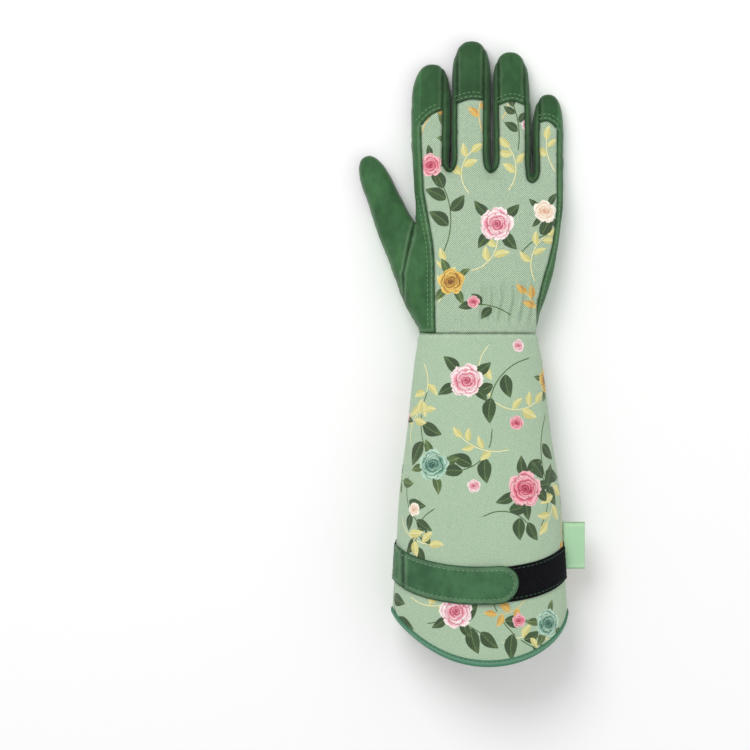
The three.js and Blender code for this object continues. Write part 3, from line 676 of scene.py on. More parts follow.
@dataclass
class Hand:
    """The hand of the glove: palm, thumb and four fingers, cut into its sewn panels."""

    length: float = 104.5
    width: float = 94.8
    thumb_side: float = 39.8
    little_side: float = 55.0
    wrist_width: float = 75.5
    wrist_thickness: float = 36.0
    palm_thickness: float = 32.0
    knuckle_thickness: float = 24.0
    web_thickness: float = 13.0
    web_drop: float = 10.0
    palm_lift: float = 2.7
    voxel: float = 0.85
    wall: float = 1.3
    spread: float = 6.0
    crotch: tuple[float, float] = (-40.5, 71.0)
    fingers: tuple[Digit, ...] = (
        Digit("index", (-29.6, 107.0), 66.2, 25, 23, 18.0, 0, 0.9, (5.6, 5.6), (40.0, 33.0, 30.0), 41.0),
        Digit("middle", (-3.9, 107.3), 80.7, 25, 25, 18.5, 0.2, 0, (3.0, 4.8), (40.5, 38.0, 38.5), 42.0),
        Digit("ring", (22.0, 106.4), 74.6, 24, 24.4, 18.0, -0.4, 0, (3.8, 3.2), (34.5, 32.0, 34.5)),
        Digit("little", (45.4, 100.0), 53.6, 19.6, 19.6, 15.5, 0, 0.3, (4.2, 4.0), (18.0, 17.5, 22.0)),
    )
    thumb: Thumb = Thumb("thumb", (-51.64, 66.27), 51.5, 24.2, 24.2, 19.0, -23.0, touch=35.0)
    # Each section's share up, then how far it is palm, knuckle and web, and its share of the lift
    sections: tuple[tuple[float, ...], ...] = (
        (-0.1, 0, 0, 0, 1),
        (0, 0, 0, 0, 1),
        (0.1, 0.1, 0, 0, 1),
        (0.22, 0.34, 0, 0, 1),
        (0.36, 0.6, 0.08, 0, 1),
        (0.52, 0.78, 0.28, 0, 1),
        (0.72, 0.93, 0.62, 0, 1),
        (0.87, 1, 0.92, 0, 1),
        (0.96, 1, 1, 0.2, 0.5),
        (1.03, 0.98, 1, 1, 0.15),
    )
    skin: Skin | None = None
    panels: dict[str, Skin] = field(default_factory=dict)

    def spot(self, across: float, up: float) -> np.ndarray:
        """A plan point given as shares of the palm's width and the hand's length."""
        return np.array([across * self.width, up * self.length])

    def palm_place(self, u: np.ndarray, v: np.ndarray) -> np.ndarray:
        """Lays the palm's tube: round it in u, and from the wrist to the fingers in v."""
        up = -0.1 + 1.13 * v
        rows = np.array(self.sections, float)
        palm, knuckle, web, lift = (eased(list(zip(rows[:, 0], rows[:, k])), up) for k in range(1, 5))
        full = self.wrist_thickness + (self.palm_thickness - self.wrist_thickness) * palm
        full = full + (self.knuckle_thickness - full) * knuckle
        thick = full + (self.web_thickness - full) * web
        y = up * self.length
        wrist = self.wrist_width / 2
        left = np.column_stack([-(wrist + (self.thumb_side - wrist) * palm), y])
        right = np.column_stack(
            [wrist + (self.little_side - wrist) * palm, y - self.web_drop * np.maximum(up - 0.3, 0)]
        )
        base = lift * self.palm_lift
        return section(u, left, right, base, base + thick)[1]

    def side_seam(self, y: np.ndarray) -> np.ndarray:
        """The height of the side seam at a distance from the wrist."""
        length = self.length
        return np.interp(
            y,
            [-0.2 * length, 0.1 * length, 0.6 * length, length],
            [
                self.palm_lift + self.wrist_thickness * 0.5,
                self.palm_lift + self.wrist_thickness * 0.48,
                self.palm_lift + self.knuckle_thickness * 0.36,
                6.6,
            ],
        )

    def shifts(self, y: np.ndarray) -> list[np.ndarray]:
        """How far each finger is held apart from the middle one while the tubes are joined."""
        step = [smooth_step(fork, fork + 10, y) * self.spread for fork in (103.0, 103.5, 95.0)]
        return [-step[0], np.zeros_like(step[0]), step[1], step[1] + step[2]]

    def held_apart(self, finger: int, points: np.ndarray) -> np.ndarray:
        """Moves a finger's points to where it is held apart."""
        moved = points.copy()
        moved[:, 0] += self.shifts(points[:, 1])[finger]
        return moved

    def let_back(self, points: np.ndarray) -> np.ndarray:
        """Moves the joined hand's fingers back beside each other."""
        x, shifts = points[:, 0], self.shifts(points[:, 1])
        moved, back = points.copy(), shifts[0].copy()
        for gap, low, high in zip((-16.75, 9.3, 34.8), shifts, shifts[1:]):
            back += (high - low) * smooth_step(-1.0, 1.0, x - gap - (low + high) / 2)
        moved[:, 0] -= np.where(x < -53.0, 0.0, back)
        return moved

    def join_tubes(self) -> Skin:
        """Joins the palm, thumb and finger tubes into one smooth skin."""
        tubes = [wrapped("palm_tube", 128, 110, self.palm_place)]
        tubes.append(wrapped("thumb_tube", 72, 110, self.thumb.place))
        for i, finger in enumerate(self.fingers):
            lay = lambda u, v, i=i, finger=finger: self.held_apart(i, finger.place(u, v))
            tubes.append(wrapped(f"{finger.name}_tube", 72, 110, lay))
        for tube in tubes:
            mended(tube, weld=1e-6, filled=True)
        alone(*tubes)
        bpy.ops.object.join()
        body = bpy.context.object
        body.data.remesh_voxel_size = self.voxel * MM
        body.data.remesh_voxel_adaptivity = 0
        bpy.ops.object.voxel_remesh()
        applied(body, "SMOOTH", factor=0.5, iterations=8)
        skin = Skin.of(body)
        bpy.data.objects.remove(body)
        skin.points = self.let_back(skin.points)
        return skin.cut(skin.points[:, 1] - 0.1)[0]

    # Seam lines in the plan

    def traced(self, *shares: tuple[float, float]) -> np.ndarray:
        """A smooth line through points given as shares of the palm's width and the hand's length."""
        return rounded([self.spot(*share) for share in shares], 6)

    def fabric_thumb_edge(self) -> np.ndarray:
        """The printed fabric's edge beside the thumb, from the wrist up."""
        return self.traced((-0.289, -0.06), (-0.294, 0.25), (-0.298, 0.5), (-0.332, 0.695), (-0.367, 0.87))

    def fabric_little_edge(self) -> np.ndarray:
        """The printed fabric's edge beside the little finger, down to the wrist."""
        upper = (0.539, 0.86), (0.535, 0.76), (0.518, 0.6), (0.487, 0.47)
        return self.traced(*upper, (0.44, 0.32), (0.4, 0.14), (0.42, -0.06))

    def web_loop(self, first: Digit, second: Digit) -> np.ndarray:
        """The rounded seam under the fork between two fingers."""
        start = first.at(first.strip_edges()[1], 4.8)
        end = second.at(second.strip_edges()[0], 4.8)
        low = min(first.root[1], second.root[1]) - 3
        across = np.array([0.16, 0.5, 0.84]) * (end[0] - start[0]) + start[0]
        inner = [[across[0], low + 2.4], [across[1], low], [across[2], low + 2.4]]
        return rounded([start + [0, 14], start, *inner, end, end + [0, 14]], 6)

    def fabric_outline(self) -> np.ndarray:
        """The plan of the printed fabric on the back of the hand."""
        line = [self.fabric_thumb_edge()]
        for i, finger in enumerate(self.fingers):
            line.append(finger.cap_seam())
            if i + 1 < len(self.fingers):
                line.append(self.web_loop(finger, self.fingers[i + 1]))
        return np.vstack([*line, self.fabric_little_edge()])

    @staticmethod
    def side_line(finger: Digit, across: float) -> np.ndarray:
        """A line from beside the cap's seam out past the tip."""
        return finger.at(across, np.array([0.85, 1, 1.4]) * finger.length)

    def hidden_edges(self) -> list[np.ndarray]:
        """The outer edges of the first and last cap, which the leather beside them hides."""
        first, last = self.fingers[0], self.fingers[-1]
        lines = []
        for finger, across, cap in (
            (first, first.strip_edges()[0], first.cap[0]),
            (last, last.strip_edges()[1], last.cap[2]),
        ):
            lines.append(finger.at(across, np.linspace(finger.length - cap - 0.4, finger.length * 1.3, 9)))
        return lines

    def cap_outline(self, finger: Digit) -> np.ndarray:
        """The plan of a fingertip's cap."""
        low, high = finger.strip_edges()
        return np.vstack([finger.cap_seam(), self.side_line(finger, high), self.side_line(finger, low)[::-1]])

    def fork_outline(self, first: Digit, second: Digit) -> np.ndarray:
        """The plan of the leather between two fingers."""
        return np.vstack(
            [
                self.web_loop(first, second),
                second.cap_seam()[:1],
                self.side_line(second, second.strip_edges()[0]),
                self.side_line(first, first.strip_edges()[1])[::-1],
                first.cap_seam()[-1:],
            ]
        )

    def touching(self) -> tuple[Digit, ...]:
        """The digits with a touch-screen tip."""
        return self.fingers[0], self.fingers[1], self.thumb

    def touch_outline(self, digit: Digit) -> np.ndarray:
        """The plan of a digit's touch-screen tip."""
        wide, low = digit.width, digit.length - digit.touch
        across = np.array([-wide, -wide / 4, wide / 4, wide, wide, -wide]) * 0.52
        along = np.array([low, low - 0.6, low - 0.6, low, digit.length + 20, digit.length + 20])
        return digit.at(across, along)

    def crotch_far(self) -> np.ndarray:
        """Where the line between thumb and hand ends, above both."""
        return np.array(self.crotch) + [-0.1 * self.width, 0.4 * self.length]

    def gusset_seam(self) -> np.ndarray:
        """The seam of the small insert at the thumb's crotch."""
        return self.traced((-0.392, 0.585), (-0.345, 0.598), (-0.297, 0.67), (-0.308, 0.735), (-0.29, 0.8))

    def thumb_palm_seam(self) -> np.ndarray:
        """The curved seam round the thumb's base on the palm."""
        upper = (-0.29, 0.8), (-0.175, 0.655), (-0.107, 0.512), (-0.095, 0.43)
        return self.traced(*upper, (-0.12, 0.315), (-0.2, 0.187), (-0.33, 0.112), (-0.5, 0.06))

    def thumb_outline(self, half: Half) -> np.ndarray:
        """The plan of the thumb's leather on one half of the hand."""
        far = self.crotch_far()
        above, beyond = self.crotch[1] + 80, -self.width - 60
        if half is Half.BACK:
            low = np.array([self.spot(*s) for s in ((-0.5, 0.16), (-0.505, 0.37), (-0.47, 0.52))])
            rest = [[far[0], above], [beyond, above], [beyond, low[0][1]]]
            return np.vstack([self.crotch, far, rest, low])
        seam = np.vstack([self.gusset_seam(), self.thumb_palm_seam()[1:]])
        rest = [[beyond, seam[-1][1]], [beyond, above], [far[0], above]]
        return np.vstack([seam, rest, far, self.crotch])

    def gusset_outline(self) -> np.ndarray:
        """The plan of the small insert at the thumb's crotch."""
        seam, far = self.gusset_seam(), self.crotch_far()
        rise = (seam[-1][1] - self.crotch[1]) / (far[1] - self.crotch[1])
        across = self.crotch[0] + (far[0] - self.crotch[0]) * rise
        return np.vstack([self.crotch, seam, [across, seam[-1][1]]])

    def thumb_crease(self) -> np.ndarray:
        """The fold that runs down from the crotch over the thumb's base."""
        return rounded([(-39.2, 70.0), (-42.5, 60.0), (-46.0, 50.5), (-49.5, 41.0)], 6)

    def pad_outline(self) -> np.ndarray:
        """The plan of the quilted pad on the palm."""
        start = (-0.135, 0.79)
        top = (-0.121, 0.822), (-0.045, 0.83), (0.11, 0.787), (0.265, 0.732), (0.46, 0.665)
        little_side = (0.475, 0.52), (0.43, 0.36), (0.36, 0.1)
        heel = (0.185, 0.077), (0.07, 0.062), (0.01, 0.08), (-0.021, 0.126)
        thumb_side = (-0.006, 0.2), (0.032, 0.282), (0.059, 0.39), (0.047, 0.485)
        above = (-0.007, 0.6), (-0.076, 0.695)
        return self.traced(start, *top, *little_side, *heel, *thumb_side, *above, start)[:-1]

    # Cutting and shaping

    def cut_panels(self) -> None:
        """Cuts the skin along its seams, presses the seams in and keeps each panel."""
        panels = {"palm": self.skin}

        def cut_out(name: str, within: str, value: Callable[[np.ndarray], np.ndarray]) -> None:
            """Cuts one panel out of another, where the value is above 0."""
            whole = panels[within]
            panels[name], panels[within] = whole.cut(value(whole.points))

        def outlined(name: str, within: str, outline: np.ndarray) -> None:
            """Cuts one panel out of another along its outline."""
            cut_out(name, within, lambda p: inside(outline, p[:, :2]))

        cut_out("back", "palm", lambda p: p[:, 2] - self.side_seam(p[:, 1]))
        outlined("thumb_back", "back", self.thumb_outline(Half.BACK))
        outlined("fabric", "back", self.fabric_outline())
        for finger in self.fingers:
            outlined(f"{finger.name}_cap", "back", self.cap_outline(finger))
        for first, second in zip(self.fingers, self.fingers[1:]):
            outlined(f"{first.name}_{second.name}_fork", "back", self.fork_outline(first, second))
        outlined("thumb_palm", "palm", self.thumb_outline(Half.PALM))
        outlined("gusset", "palm", self.gusset_outline())
        for digit in self.touching():
            within = "thumb_palm" if digit is self.thumb else "palm"
            outlined(f"{digit.name}_touch", within, self.touch_outline(digit))
        owner = np.repeat(np.arange(len(panels)), [len(panel.faces) for panel in panels.values()])
        whole = self.shaped(Skin.merged(*panels.values()))
        self.panels = {name: whole.kept(owner == i) for i, name in enumerate(panels)}

    def shaped(self, skin: Skin) -> Skin:
        """Presses the seams in and adds the gathers, creases and soft unevenness.

        Args:
            skin: the whole hand, already cut.

        Returns:
            The same skin with its points moved.
        """
        p = skin.points
        plan, y = p[:, :2], p[:, 1]
        height = p[:, 2] - self.side_seam(y)
        on_back, on_palm = smooth_step(-0.6, 0.6, height), smooth_step(0.6, -0.6, height)
        out = np.zeros(len(p))

        fabric = inside(self.fabric_outline(), plan)
        out += on_back * (0.3 * hump(fabric, 2.2, 1.3) - 0.62 * hump(fabric, 0, 0.9))
        forks = np.zeros(len(p))
        for first, second in zip(self.fingers, self.fingers[1:]):
            forks = np.maximum(forks, smooth_step(-0.5, 1.0, inside(self.fork_outline(first, second), plan)))
        ridge, hollow = 0.55 * hump(fabric, -1.8, 0.9), 0.3 * smooth_step(-3.0, -5.0, fabric)
        out += on_back * forks * (ridge - hollow)
        for finger in self.fingers:
            low, high = finger.strip_edges()
            across, along = finger.own(plan).T
            cap = finger.length - min(finger.cap)
            beyond = smooth_step(cap - 6, cap + 2, along)
            near = beyond * on_back * (np.abs(across) < finger.width / 2 + 1)
            for edge in (low, high):
                side = np.sign(edge)
                if (finger is self.fingers[0] and side < 0) or (finger is self.fingers[-1] and side > 0):
                    continue
                out += near * (-0.35 * hump(across, edge, 0.8) + 0.25 * hump(across, edge + side * 1.5, 0.9))
            joint = on_back * (np.abs(across) < finger.width / 2 + 0.3) * (along > 5)
            for share, depth in ((0.27, 0.28), (0.6, 0.2)):
                out -= joint * depth * hump(along + 0.5 * np.sin(across), share * finger.length, 1.6)
                out += joint * depth * 0.7 * hump(along, share * finger.length - 4, 3.0)
        thumb_back = self.thumb_outline(Half.BACK)
        out -= on_back * 0.5 * hump(line_distance(thumb_back[-3:], plan), 0, 0.9)
        crease = line_distance(self.thumb_crease(), plan)
        out += on_back * (-0.9 * hump(crease, 0, 1.5) + 0.35 * hump(crease, 3.8, 2.4))

        for seam in (self.thumb_palm_seam(), self.gusset_seam()):
            distance = line_distance(seam, plan)
            out += on_palm * (-0.6 * hump(distance, 0, 0.9) + 0.25 * hump(distance, 2.2, 1.2))
        for digit in self.touching():
            across, along = digit.own(plan).T
            near = (np.abs(across) < digit.width * 0.52 + 2) * on_palm
            back = along - (digit.length - digit.touch)
            out += near * (-0.45 * hump(back, 0, 0.8) + 0.2 * hump(back, 1.8, 1.0))

        fingertips = smooth_step(96, 112, y) + smooth_step(-42, -48, plan[:, 0])
        out += (0.5 * hump(height, 0.9, 0.8) - 0.35 * hump(height, -0.6, 0.7)) * np.clip(fingertips, 0.35, 1)
        out -= 0.8 * hump(y, 0, 1.3)

        x = plan[:, 0]
        window = smooth_step(-4, 4, x) * smooth_step(42, 36, x)
        window = window * smooth_step(3, 11, y) * smooth_step(36, 26, y)
        folds = np.cos(2 * math.pi * (x + 1.2 * np.sin(y / 5.0)) / 6.4 + 0.6 * np.sin(x / 6))
        out += on_back * window * (1.05 * folds - 0.6)
        out += 0.22 * np.sin(x / 9.5 + 1.3) * np.sin(y / 12.5 + 0.5) * on_back
        out += 0.1 * np.sin(x / 4.3 + y / 6.1) * np.cos(y / 5.2 - x / 8.0) * on_back

        moved = p + skin.normals() * out[:, None]
        moved[:, 2] = np.maximum(moved[:, 2], 0.02)
        return Skin(moved, skin.faces)


# The cuff and what is sewn on it


@dataclass(frozen=True)
class Cuff:
    """The long flared cuff. down is the distance from the wrist seam, in millimetres."""

    length: float = 211.0
    wrist_width: float = 75.5
    wrist_thickness: float = 36.0
    hem_width: float = 111.0
    hem_thickness: float = 60.0
    hem_shift: float = 1.4
    hem_low_point: float = 6.0
    thumb_side_length: float = 178.0
    little_side_length: float = 179.0
    palm_lift: float = 2.7
    hem_lift: float = 1.2
    wall: float = 1.3
    girth: float = 330.0
    widths: Table = (
        (-0.02, 0),
        (0, 0),
        (0.085, 0.16),
        (0.19, 0.31),
        (0.31, 0.47),
        (0.5, 0.76),
        (0.71, 0.9),
        (0.84, 1),
        (1.03, 1.01),
    )
    thicknesses: Table = (
        (-0.02, 0),
        (0, 0),
        (0.085, 0.12),
        (0.19, 0.25),
        (0.31, 0.41),
        (0.5, 0.68),
        (0.71, 0.9),
        (0.84, 1),
        (1.03, 1.03),
    )

    def folds(self, u: np.ndarray, down: np.ndarray) -> np.ndarray:
        """The soft unevenness of the cloth, in millimetres outwards."""
        angle = 2 * math.pi * u
        loose = smooth_step(5, 90, down)
        out = 0.55 * loose * np.sin(3 * angle + down / 46.0 + 0.7)
        out += 0.35 * loose * np.sin(5 * angle - down / 31.0)
        out += 0.3 * np.sin(7 * angle + down / 17.0) * hump(down, 6, 22)
        for seam in (0.0, 0.5, 1.0):
            out -= 0.7 * hump(u, seam, 0.0045) - 0.28 * hump(np.abs(u - seam), 0.012, 0.006)
        return out - 0.9 * hump(down, 0, 1.6) + 0.25 * hump(down, 4.0, 2.0)

    def smooth_at(self, u: np.ndarray, down: np.ndarray) -> np.ndarray:
        """The cuff's plain surface: round it in u, from the little-finger side over the back."""
        share = down / self.length
        wide, thick = eased(self.widths, share), eased(self.thicknesses, share)
        half = (self.wrist_width + (self.hem_width - self.wrist_width) * wide) / 2
        low = self.palm_lift + (self.hem_lift - self.palm_lift) * np.minimum(thick, 1)
        high = low + self.wrist_thickness + (self.hem_thickness - self.wrist_thickness) * thick
        left = np.column_stack([wide * self.hem_shift - half, -down])
        right = np.column_stack([wide * self.hem_shift + half, -down])
        return section(u, left, right, low, high)[1]

    def normal(self, u: np.ndarray, down: np.ndarray) -> np.ndarray:
        """The outward direction of the plain surface."""
        du = self.smooth_at(u + 0.002, down) - self.smooth_at(u - 0.002, down)
        dv = self.smooth_at(u, down + 0.5) - self.smooth_at(u, down - 0.5)
        n = np.cross(dv, du)
        n = n / (np.linalg.norm(n, axis=1)[:, None] + 1e-9)
        middle = self.smooth_at(np.zeros_like(u), down) + self.smooth_at(np.full_like(u, 0.5), down)
        outward = ((self.smooth_at(u, down) - middle / 2) * n * [1, 0, 1]).sum(1)
        return n * np.where(outward < 0, -1, 1)[:, None]

    def at(self, u: np.ndarray, down: np.ndarray, out: np.ndarray | float = 0.0) -> np.ndarray:
        """The cuff's surface with its folds, or a point that far out from it."""
        u, down = np.broadcast_arrays(np.asarray(u, float), np.asarray(down, float))
        rise = self.folds(u, down) + out
        points = self.smooth_at(u, down) + self.normal(u, down) * np.asarray(rise)[:, None]
        points[:, 2] = np.maximum(points[:, 2], 0.05)
        return points

    def around(self, x: np.ndarray, down: np.ndarray) -> np.ndarray:
        """The place round the cuff, over the back, of a plan distance across it."""
        share = down / self.length
        wide = eased(self.widths, share)
        half = (self.wrist_width + (self.hem_width - self.wrist_width) * wide) / 2
        c = np.clip((x - wide * self.hem_shift) / half, -1, 1)
        return np.arccos(np.sign(c) * np.abs(c) ** 1.1) / (2 * math.pi)

    def hem(self, x: np.ndarray) -> np.ndarray:
        """How far down the hem is at a plan distance across."""
        thumb_side = x < self.hem_low_point
        end = self.hem_shift + np.where(thumb_side, -self.hem_width, self.hem_width) / 2
        share = np.clip((x - self.hem_low_point) / (end - self.hem_low_point), 0, 1)
        side = np.where(thumb_side, self.thumb_side_length, self.little_side_length)
        curve = np.where(thumb_side, 0.8, 0.58)
        return side + (self.length - side) * np.maximum(1 - share**2, 0) ** curve

    def edge(self, u: np.ndarray, back: float = 0.0) -> np.ndarray:
        """How far down the cuff ends, at each place round it."""
        down = np.full(len(u), 185.0)
        for _ in range(12):
            down = 0.5 * down + 0.5 * self.hem(self.smooth_at(u, down)[:, 0])
        return down - back

    def place(self, u: np.ndarray, v: np.ndarray) -> np.ndarray:
        """Lays the cuff: round it in u, and from the wrist to the hem in v."""
        return self.at(u, 0.1 + (self.edge(u, 1.0) - 0.1) * v)

    def flat(self, u: np.ndarray, down: np.ndarray) -> np.ndarray:
        """Where a place lies on the flat cloth: across from the middle of the back, and up from the wrist."""
        rows, places = np.linspace(0, 215, 44), np.linspace(0, 1, 181)
        across = np.empty((44, 181))
        for k, row in enumerate(rows):
            ring = self.smooth_at(places, np.full(181, row))
            lengths = np.concatenate([[0], np.cumsum(np.linalg.norm(np.diff(ring, axis=0), axis=1))])
            across[k] = lengths[45] - lengths
        i, j = np.clip(u * 180, 0, 179.999), np.clip(down / 5, 0, 42.999)
        a, b = i.astype(int), j.astype(int)
        s, t = i - a, j - b
        near = across[b, a] * (1 - s) + across[b, a + 1] * s
        far = across[b + 1, a] * (1 - s) + across[b + 1, a + 1] * s
        return np.column_stack([near * (1 - t) + far * t, -down])

    @staticmethod
    def middle_line(points: np.ndarray) -> np.ndarray:
        """The point on the cuff's middle line that is level with each pattern point."""
        return np.column_stack([np.full(len(points), 1.0), points[:, 1], np.full(len(points), 25.0)])

    def build(self, flowers: "FlowerPrint") -> bpy.types.Object:
        """Makes the cuff's cloth with its print."""
        piece = wrapped("cuff_canvas", 224, 150, self.place)
        u, v, _ = read_all(piece.data.attributes["pattern"].data, "vector", 3).T
        down = 0.1 + (self.edge(u, 1.0) - 0.1) * v
        flowers.stamp(piece, self.flat(u, down))
        # The side seams get the painted seam shade and highlight too.
        side = np.empty(len(piece.data.vertices))
        side[corner_points(piece)] = np.minimum(np.minimum(u, 1 - u), np.abs(u - 0.5)) * self.girth
        write_points(piece, "side", side)
        mended(piece, weld=1e-6, outward=False)
        return seamed(piece, read_all(piece.data.attributes["side"].data, "value"))


def facing_out(piece: bpy.types.Object, centre: Callable[[np.ndarray], np.ndarray]) -> bpy.types.Object:
    """Turns an open skin's faces away from its own middle line.

    Args:
        piece: the skin.
        centre: gives the middle line's point for each pattern point.

    Returns:
        The piece.
    """
    skin = Skin.of(piece)
    if ((skin.points - centre(skin.points)) * skin.normals()).sum() < 0:
        piece.data.flip_normals()
    return piece


@dataclass(frozen=True)
class Binding:
    """The tape folded over the cuff's hem."""

    cuff: Cuff
    reach: float = 3.4
    stand: float = 0.85

    def place(self, u: np.ndarray, v: np.ndarray) -> np.ndarray:
        """Lays the tape: along the hem in u, and round its own section in v."""
        inner = -self.cuff.wall - self.stand
        profile = np.array(
            [
                (-self.reach, 0.0),
                (-self.reach + 0.25, self.stand * 0.75),
                (-self.reach * 0.55, self.stand * 1.12),
                (-0.4, self.stand),
                (0.55, self.stand * 0.35),
                (0.95, -self.cuff.wall / 2),
                (0.55, inner + self.stand * 0.65),
                (-0.4, inner),
                (-self.reach * 0.55, inner - 0.1),
                (-self.reach + 0.25, inner + 0.2),
                (-self.reach, -self.cuff.wall),
                (-self.reach + 0.2, -self.cuff.wall / 2),
                (-self.reach, 0.0),
            ]
        )
        lengths = np.linspace(0, 1, len(profile))
        down = np.interp(v, lengths, profile[:, 0])
        out = np.interp(v, lengths, profile[:, 1])
        out = out + 0.05 * np.sin(2 * math.pi * u * 150) * (out > 0)
        return self.cuff.at(u, self.cuff.edge(u, 0.6) + down, out)

    def build(self) -> bpy.types.Object:
        """Makes the tape as a closed ring."""
        piece = wrapped("hem_tape", 300, 24, self.place)
        # The tape's folded edges get the painted seam shade and highlight.
        v = np.empty(len(piece.data.vertices))
        v[corner_points(piece)] = read_all(piece.data.attributes["pattern"].data, "vector", 3)[:, 1]
        return mended(seamed(piece, np.minimum(v, 1 - v) * 12 + 0.3))


@dataclass(frozen=True)
class Band:
    """A flat band across the back of the cuff, which bows towards the hem."""

    name: str
    cuff: Cuff
    start: float
    end: float
    width: float = 24.0
    thickness: float = 1.6
    down: float = 160.0
    bow: float = 19.0
    round_end: float = 0.0
    fold: float = 0.0
    climb: tuple[float, float] | None = None
    base: float = 0.3
    rise: float = 1.4
    half_round: float = 55.2
    steps: tuple[int, int] = (150, 32)

    def middle(self, x: np.ndarray) -> np.ndarray:
        """How far down the band's middle line is at a plan distance across."""
        share = (x - self.cuff.hem_shift) / (self.cuff.hem_width / 2)
        return self.down - self.bow * (1 - np.sqrt(np.maximum(1 - share**2, 0)))

    def half_width(self, x: np.ndarray) -> np.ndarray:
        """Half the band's width, down to almost nothing where its end is rounded."""
        if not self.round_end:
            return np.full_like(x, self.width / 2)
        share = np.clip((x - (self.end - self.round_end)) / self.round_end, 0, 0.9995)
        return self.width / 2 * np.sqrt(1 - share**2)

    def on_cuff(self, x: np.ndarray, beside_middle: np.ndarray, out: np.ndarray) -> np.ndarray:
        """The point over the cuff at a distance across, beside the middle line and out."""
        down = self.middle(x) - beside_middle
        return self.cuff.at(self.cuff.around(x, down), down, out)

    def lift(self, x: np.ndarray) -> np.ndarray:
        """How far the band's underside is from the cuff."""
        if self.climb is None:
            return np.full_like(x, self.base)
        return self.base + self.rise * smooth_step(*self.climb, x)

    def xs(self, u: np.ndarray) -> np.ndarray:
        """The plan distance across for the share along the band."""
        middle = self.cuff.hem_shift

        def turn(x: float) -> float:
            """How far round the cuff a plan distance is, as an angle."""
            return math.asin(max(-1.0, min(1.0, (x - middle) / self.half_round)))

        left, right = turn(self.start), turn(self.end)
        if not self.round_end:
            return middle + self.half_round * np.sin(left + (right - left) * u)
        first, share = self.end - self.round_end, 0.82
        body = np.sin(left + (turn(first) - left) * np.clip(u / share, 0, 1)) * self.half_round + middle
        tip = first + self.round_end * np.sin(np.clip((u - share) / (1 - share), 0, 1) * math.pi / 2)
        return np.where(u < share, body, tip)

    def place(self, u: np.ndarray, v: np.ndarray) -> np.ndarray:
        """Lays the band's outer skin: along it in u, and across it in v."""
        x, t = self.xs(u), 2 * v - 1
        half = self.half_width(x)
        t = np.sign(t) * (1 - (1 - np.abs(t)) ** 1.25)
        edge = (1 - np.abs(t)) * half
        if self.round_end:
            edge = np.minimum(edge, self.end - x)
        curl = 0.75 * (1 - np.sqrt(1 - np.clip(1 - edge / 1.2, 0, 1) ** 2))
        quilt = 0.22 * hump(edge, 2.6, 0.5)
        if self.fold:
            quilt = quilt + 0.6 * hump(x, self.start + self.fold, 0.7)
        return self.on_cuff(x, t * half, self.lift(x) + self.thickness - curl - quilt)

    def build(self, *materials: bpy.types.Material) -> bpy.types.Object:
        """Makes the band with its thickness, its underside and edge in the last material."""
        piece = mended(painted(wrapped(self.name, *self.steps, self.place), *materials), outward=False)
        up = Skin.of(piece)
        if up.normals()[:, 2].sum() < 0:
            piece.data.flip_normals()
        # The strap's fold gets the painted seam shade and highlight, as a seam does.
        across = np.abs(up.points[:, 0] - (self.start + self.fold)) if self.fold else None
        last = len(materials) - 1
        return walled(seamed(piece, across), self.thickness - 0.75, last, last)

    def stitch_line(self, back: float) -> np.ndarray:
        """The line of stitches that far inside the band's edge, on its outer face."""
        start = self.start + 1.0
        last = self.end - self.round_end if self.round_end else self.end - 1.0
        xs = np.linspace(start, last, 40)
        upper = self.on_cuff(xs, np.full(40, self.width / 2 - back), self.lift(xs) + self.thickness - 0.1)
        lower = self.on_cuff(xs, np.full(40, back - self.width / 2), self.lift(xs) + self.thickness - 0.1)
        if not self.round_end:
            return np.vstack([upper, lower[::-1]])
        turn = np.linspace(math.pi / 2, -math.pi / 2, 24)[1:-1]
        x = last + (self.round_end - back) * np.cos(turn)
        tip = self.on_cuff(x, (self.width / 2 - back) * np.sin(turn), self.lift(x) + self.thickness - 0.1)
        return np.vstack([upper, tip, lower[::-1]])


@dataclass(frozen=True)
class SideLabel:
    """The blank folded label in the cuff's side seam."""

    height: float = 30.0

    def build(self) -> bpy.types.Object:
        """Makes the label: a tape folded at its outer edge, with a slight curl."""
        low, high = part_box("side_label")
        corner = BENCH.from_row(np.array([list(low), list(high)]))
        x0, x1 = corner[0][0] - 0.4, corner[1][0]
        _, y, z = corner.mean(0)

        def place(u: np.ndarray, v: np.ndarray) -> np.ndarray:
            """Lays the tape: out and back over the fold in u, and down it in v."""
            turn = np.clip((u - 0.47) / 0.06, 0, 1) * math.pi
            out = np.where(u < 0.5, u / 0.47, (1 - u) / 0.47).clip(0, 1)
            side = np.cos(turn)
            x = x0 + (x1 - x0 - 0.5) * out + 0.5 * np.sin(turn)
            across = v - 0.5
            bend = 0.5 * np.sin(math.pi * out) * np.sin(2.2 * across + 0.6) - 0.7 * out**2
            ridge = 0.05 * np.sin(2 * math.pi * v * 30)
            high = z + bend + side * (0.32 + 0.12 * out) + ridge
            return np.column_stack([x, y + across * self.height, high])

        return walled(seamed(mended(wrapped("blank_label", 60, 60, place), weld=0)), 0.2)


# The palm pad and the stitches


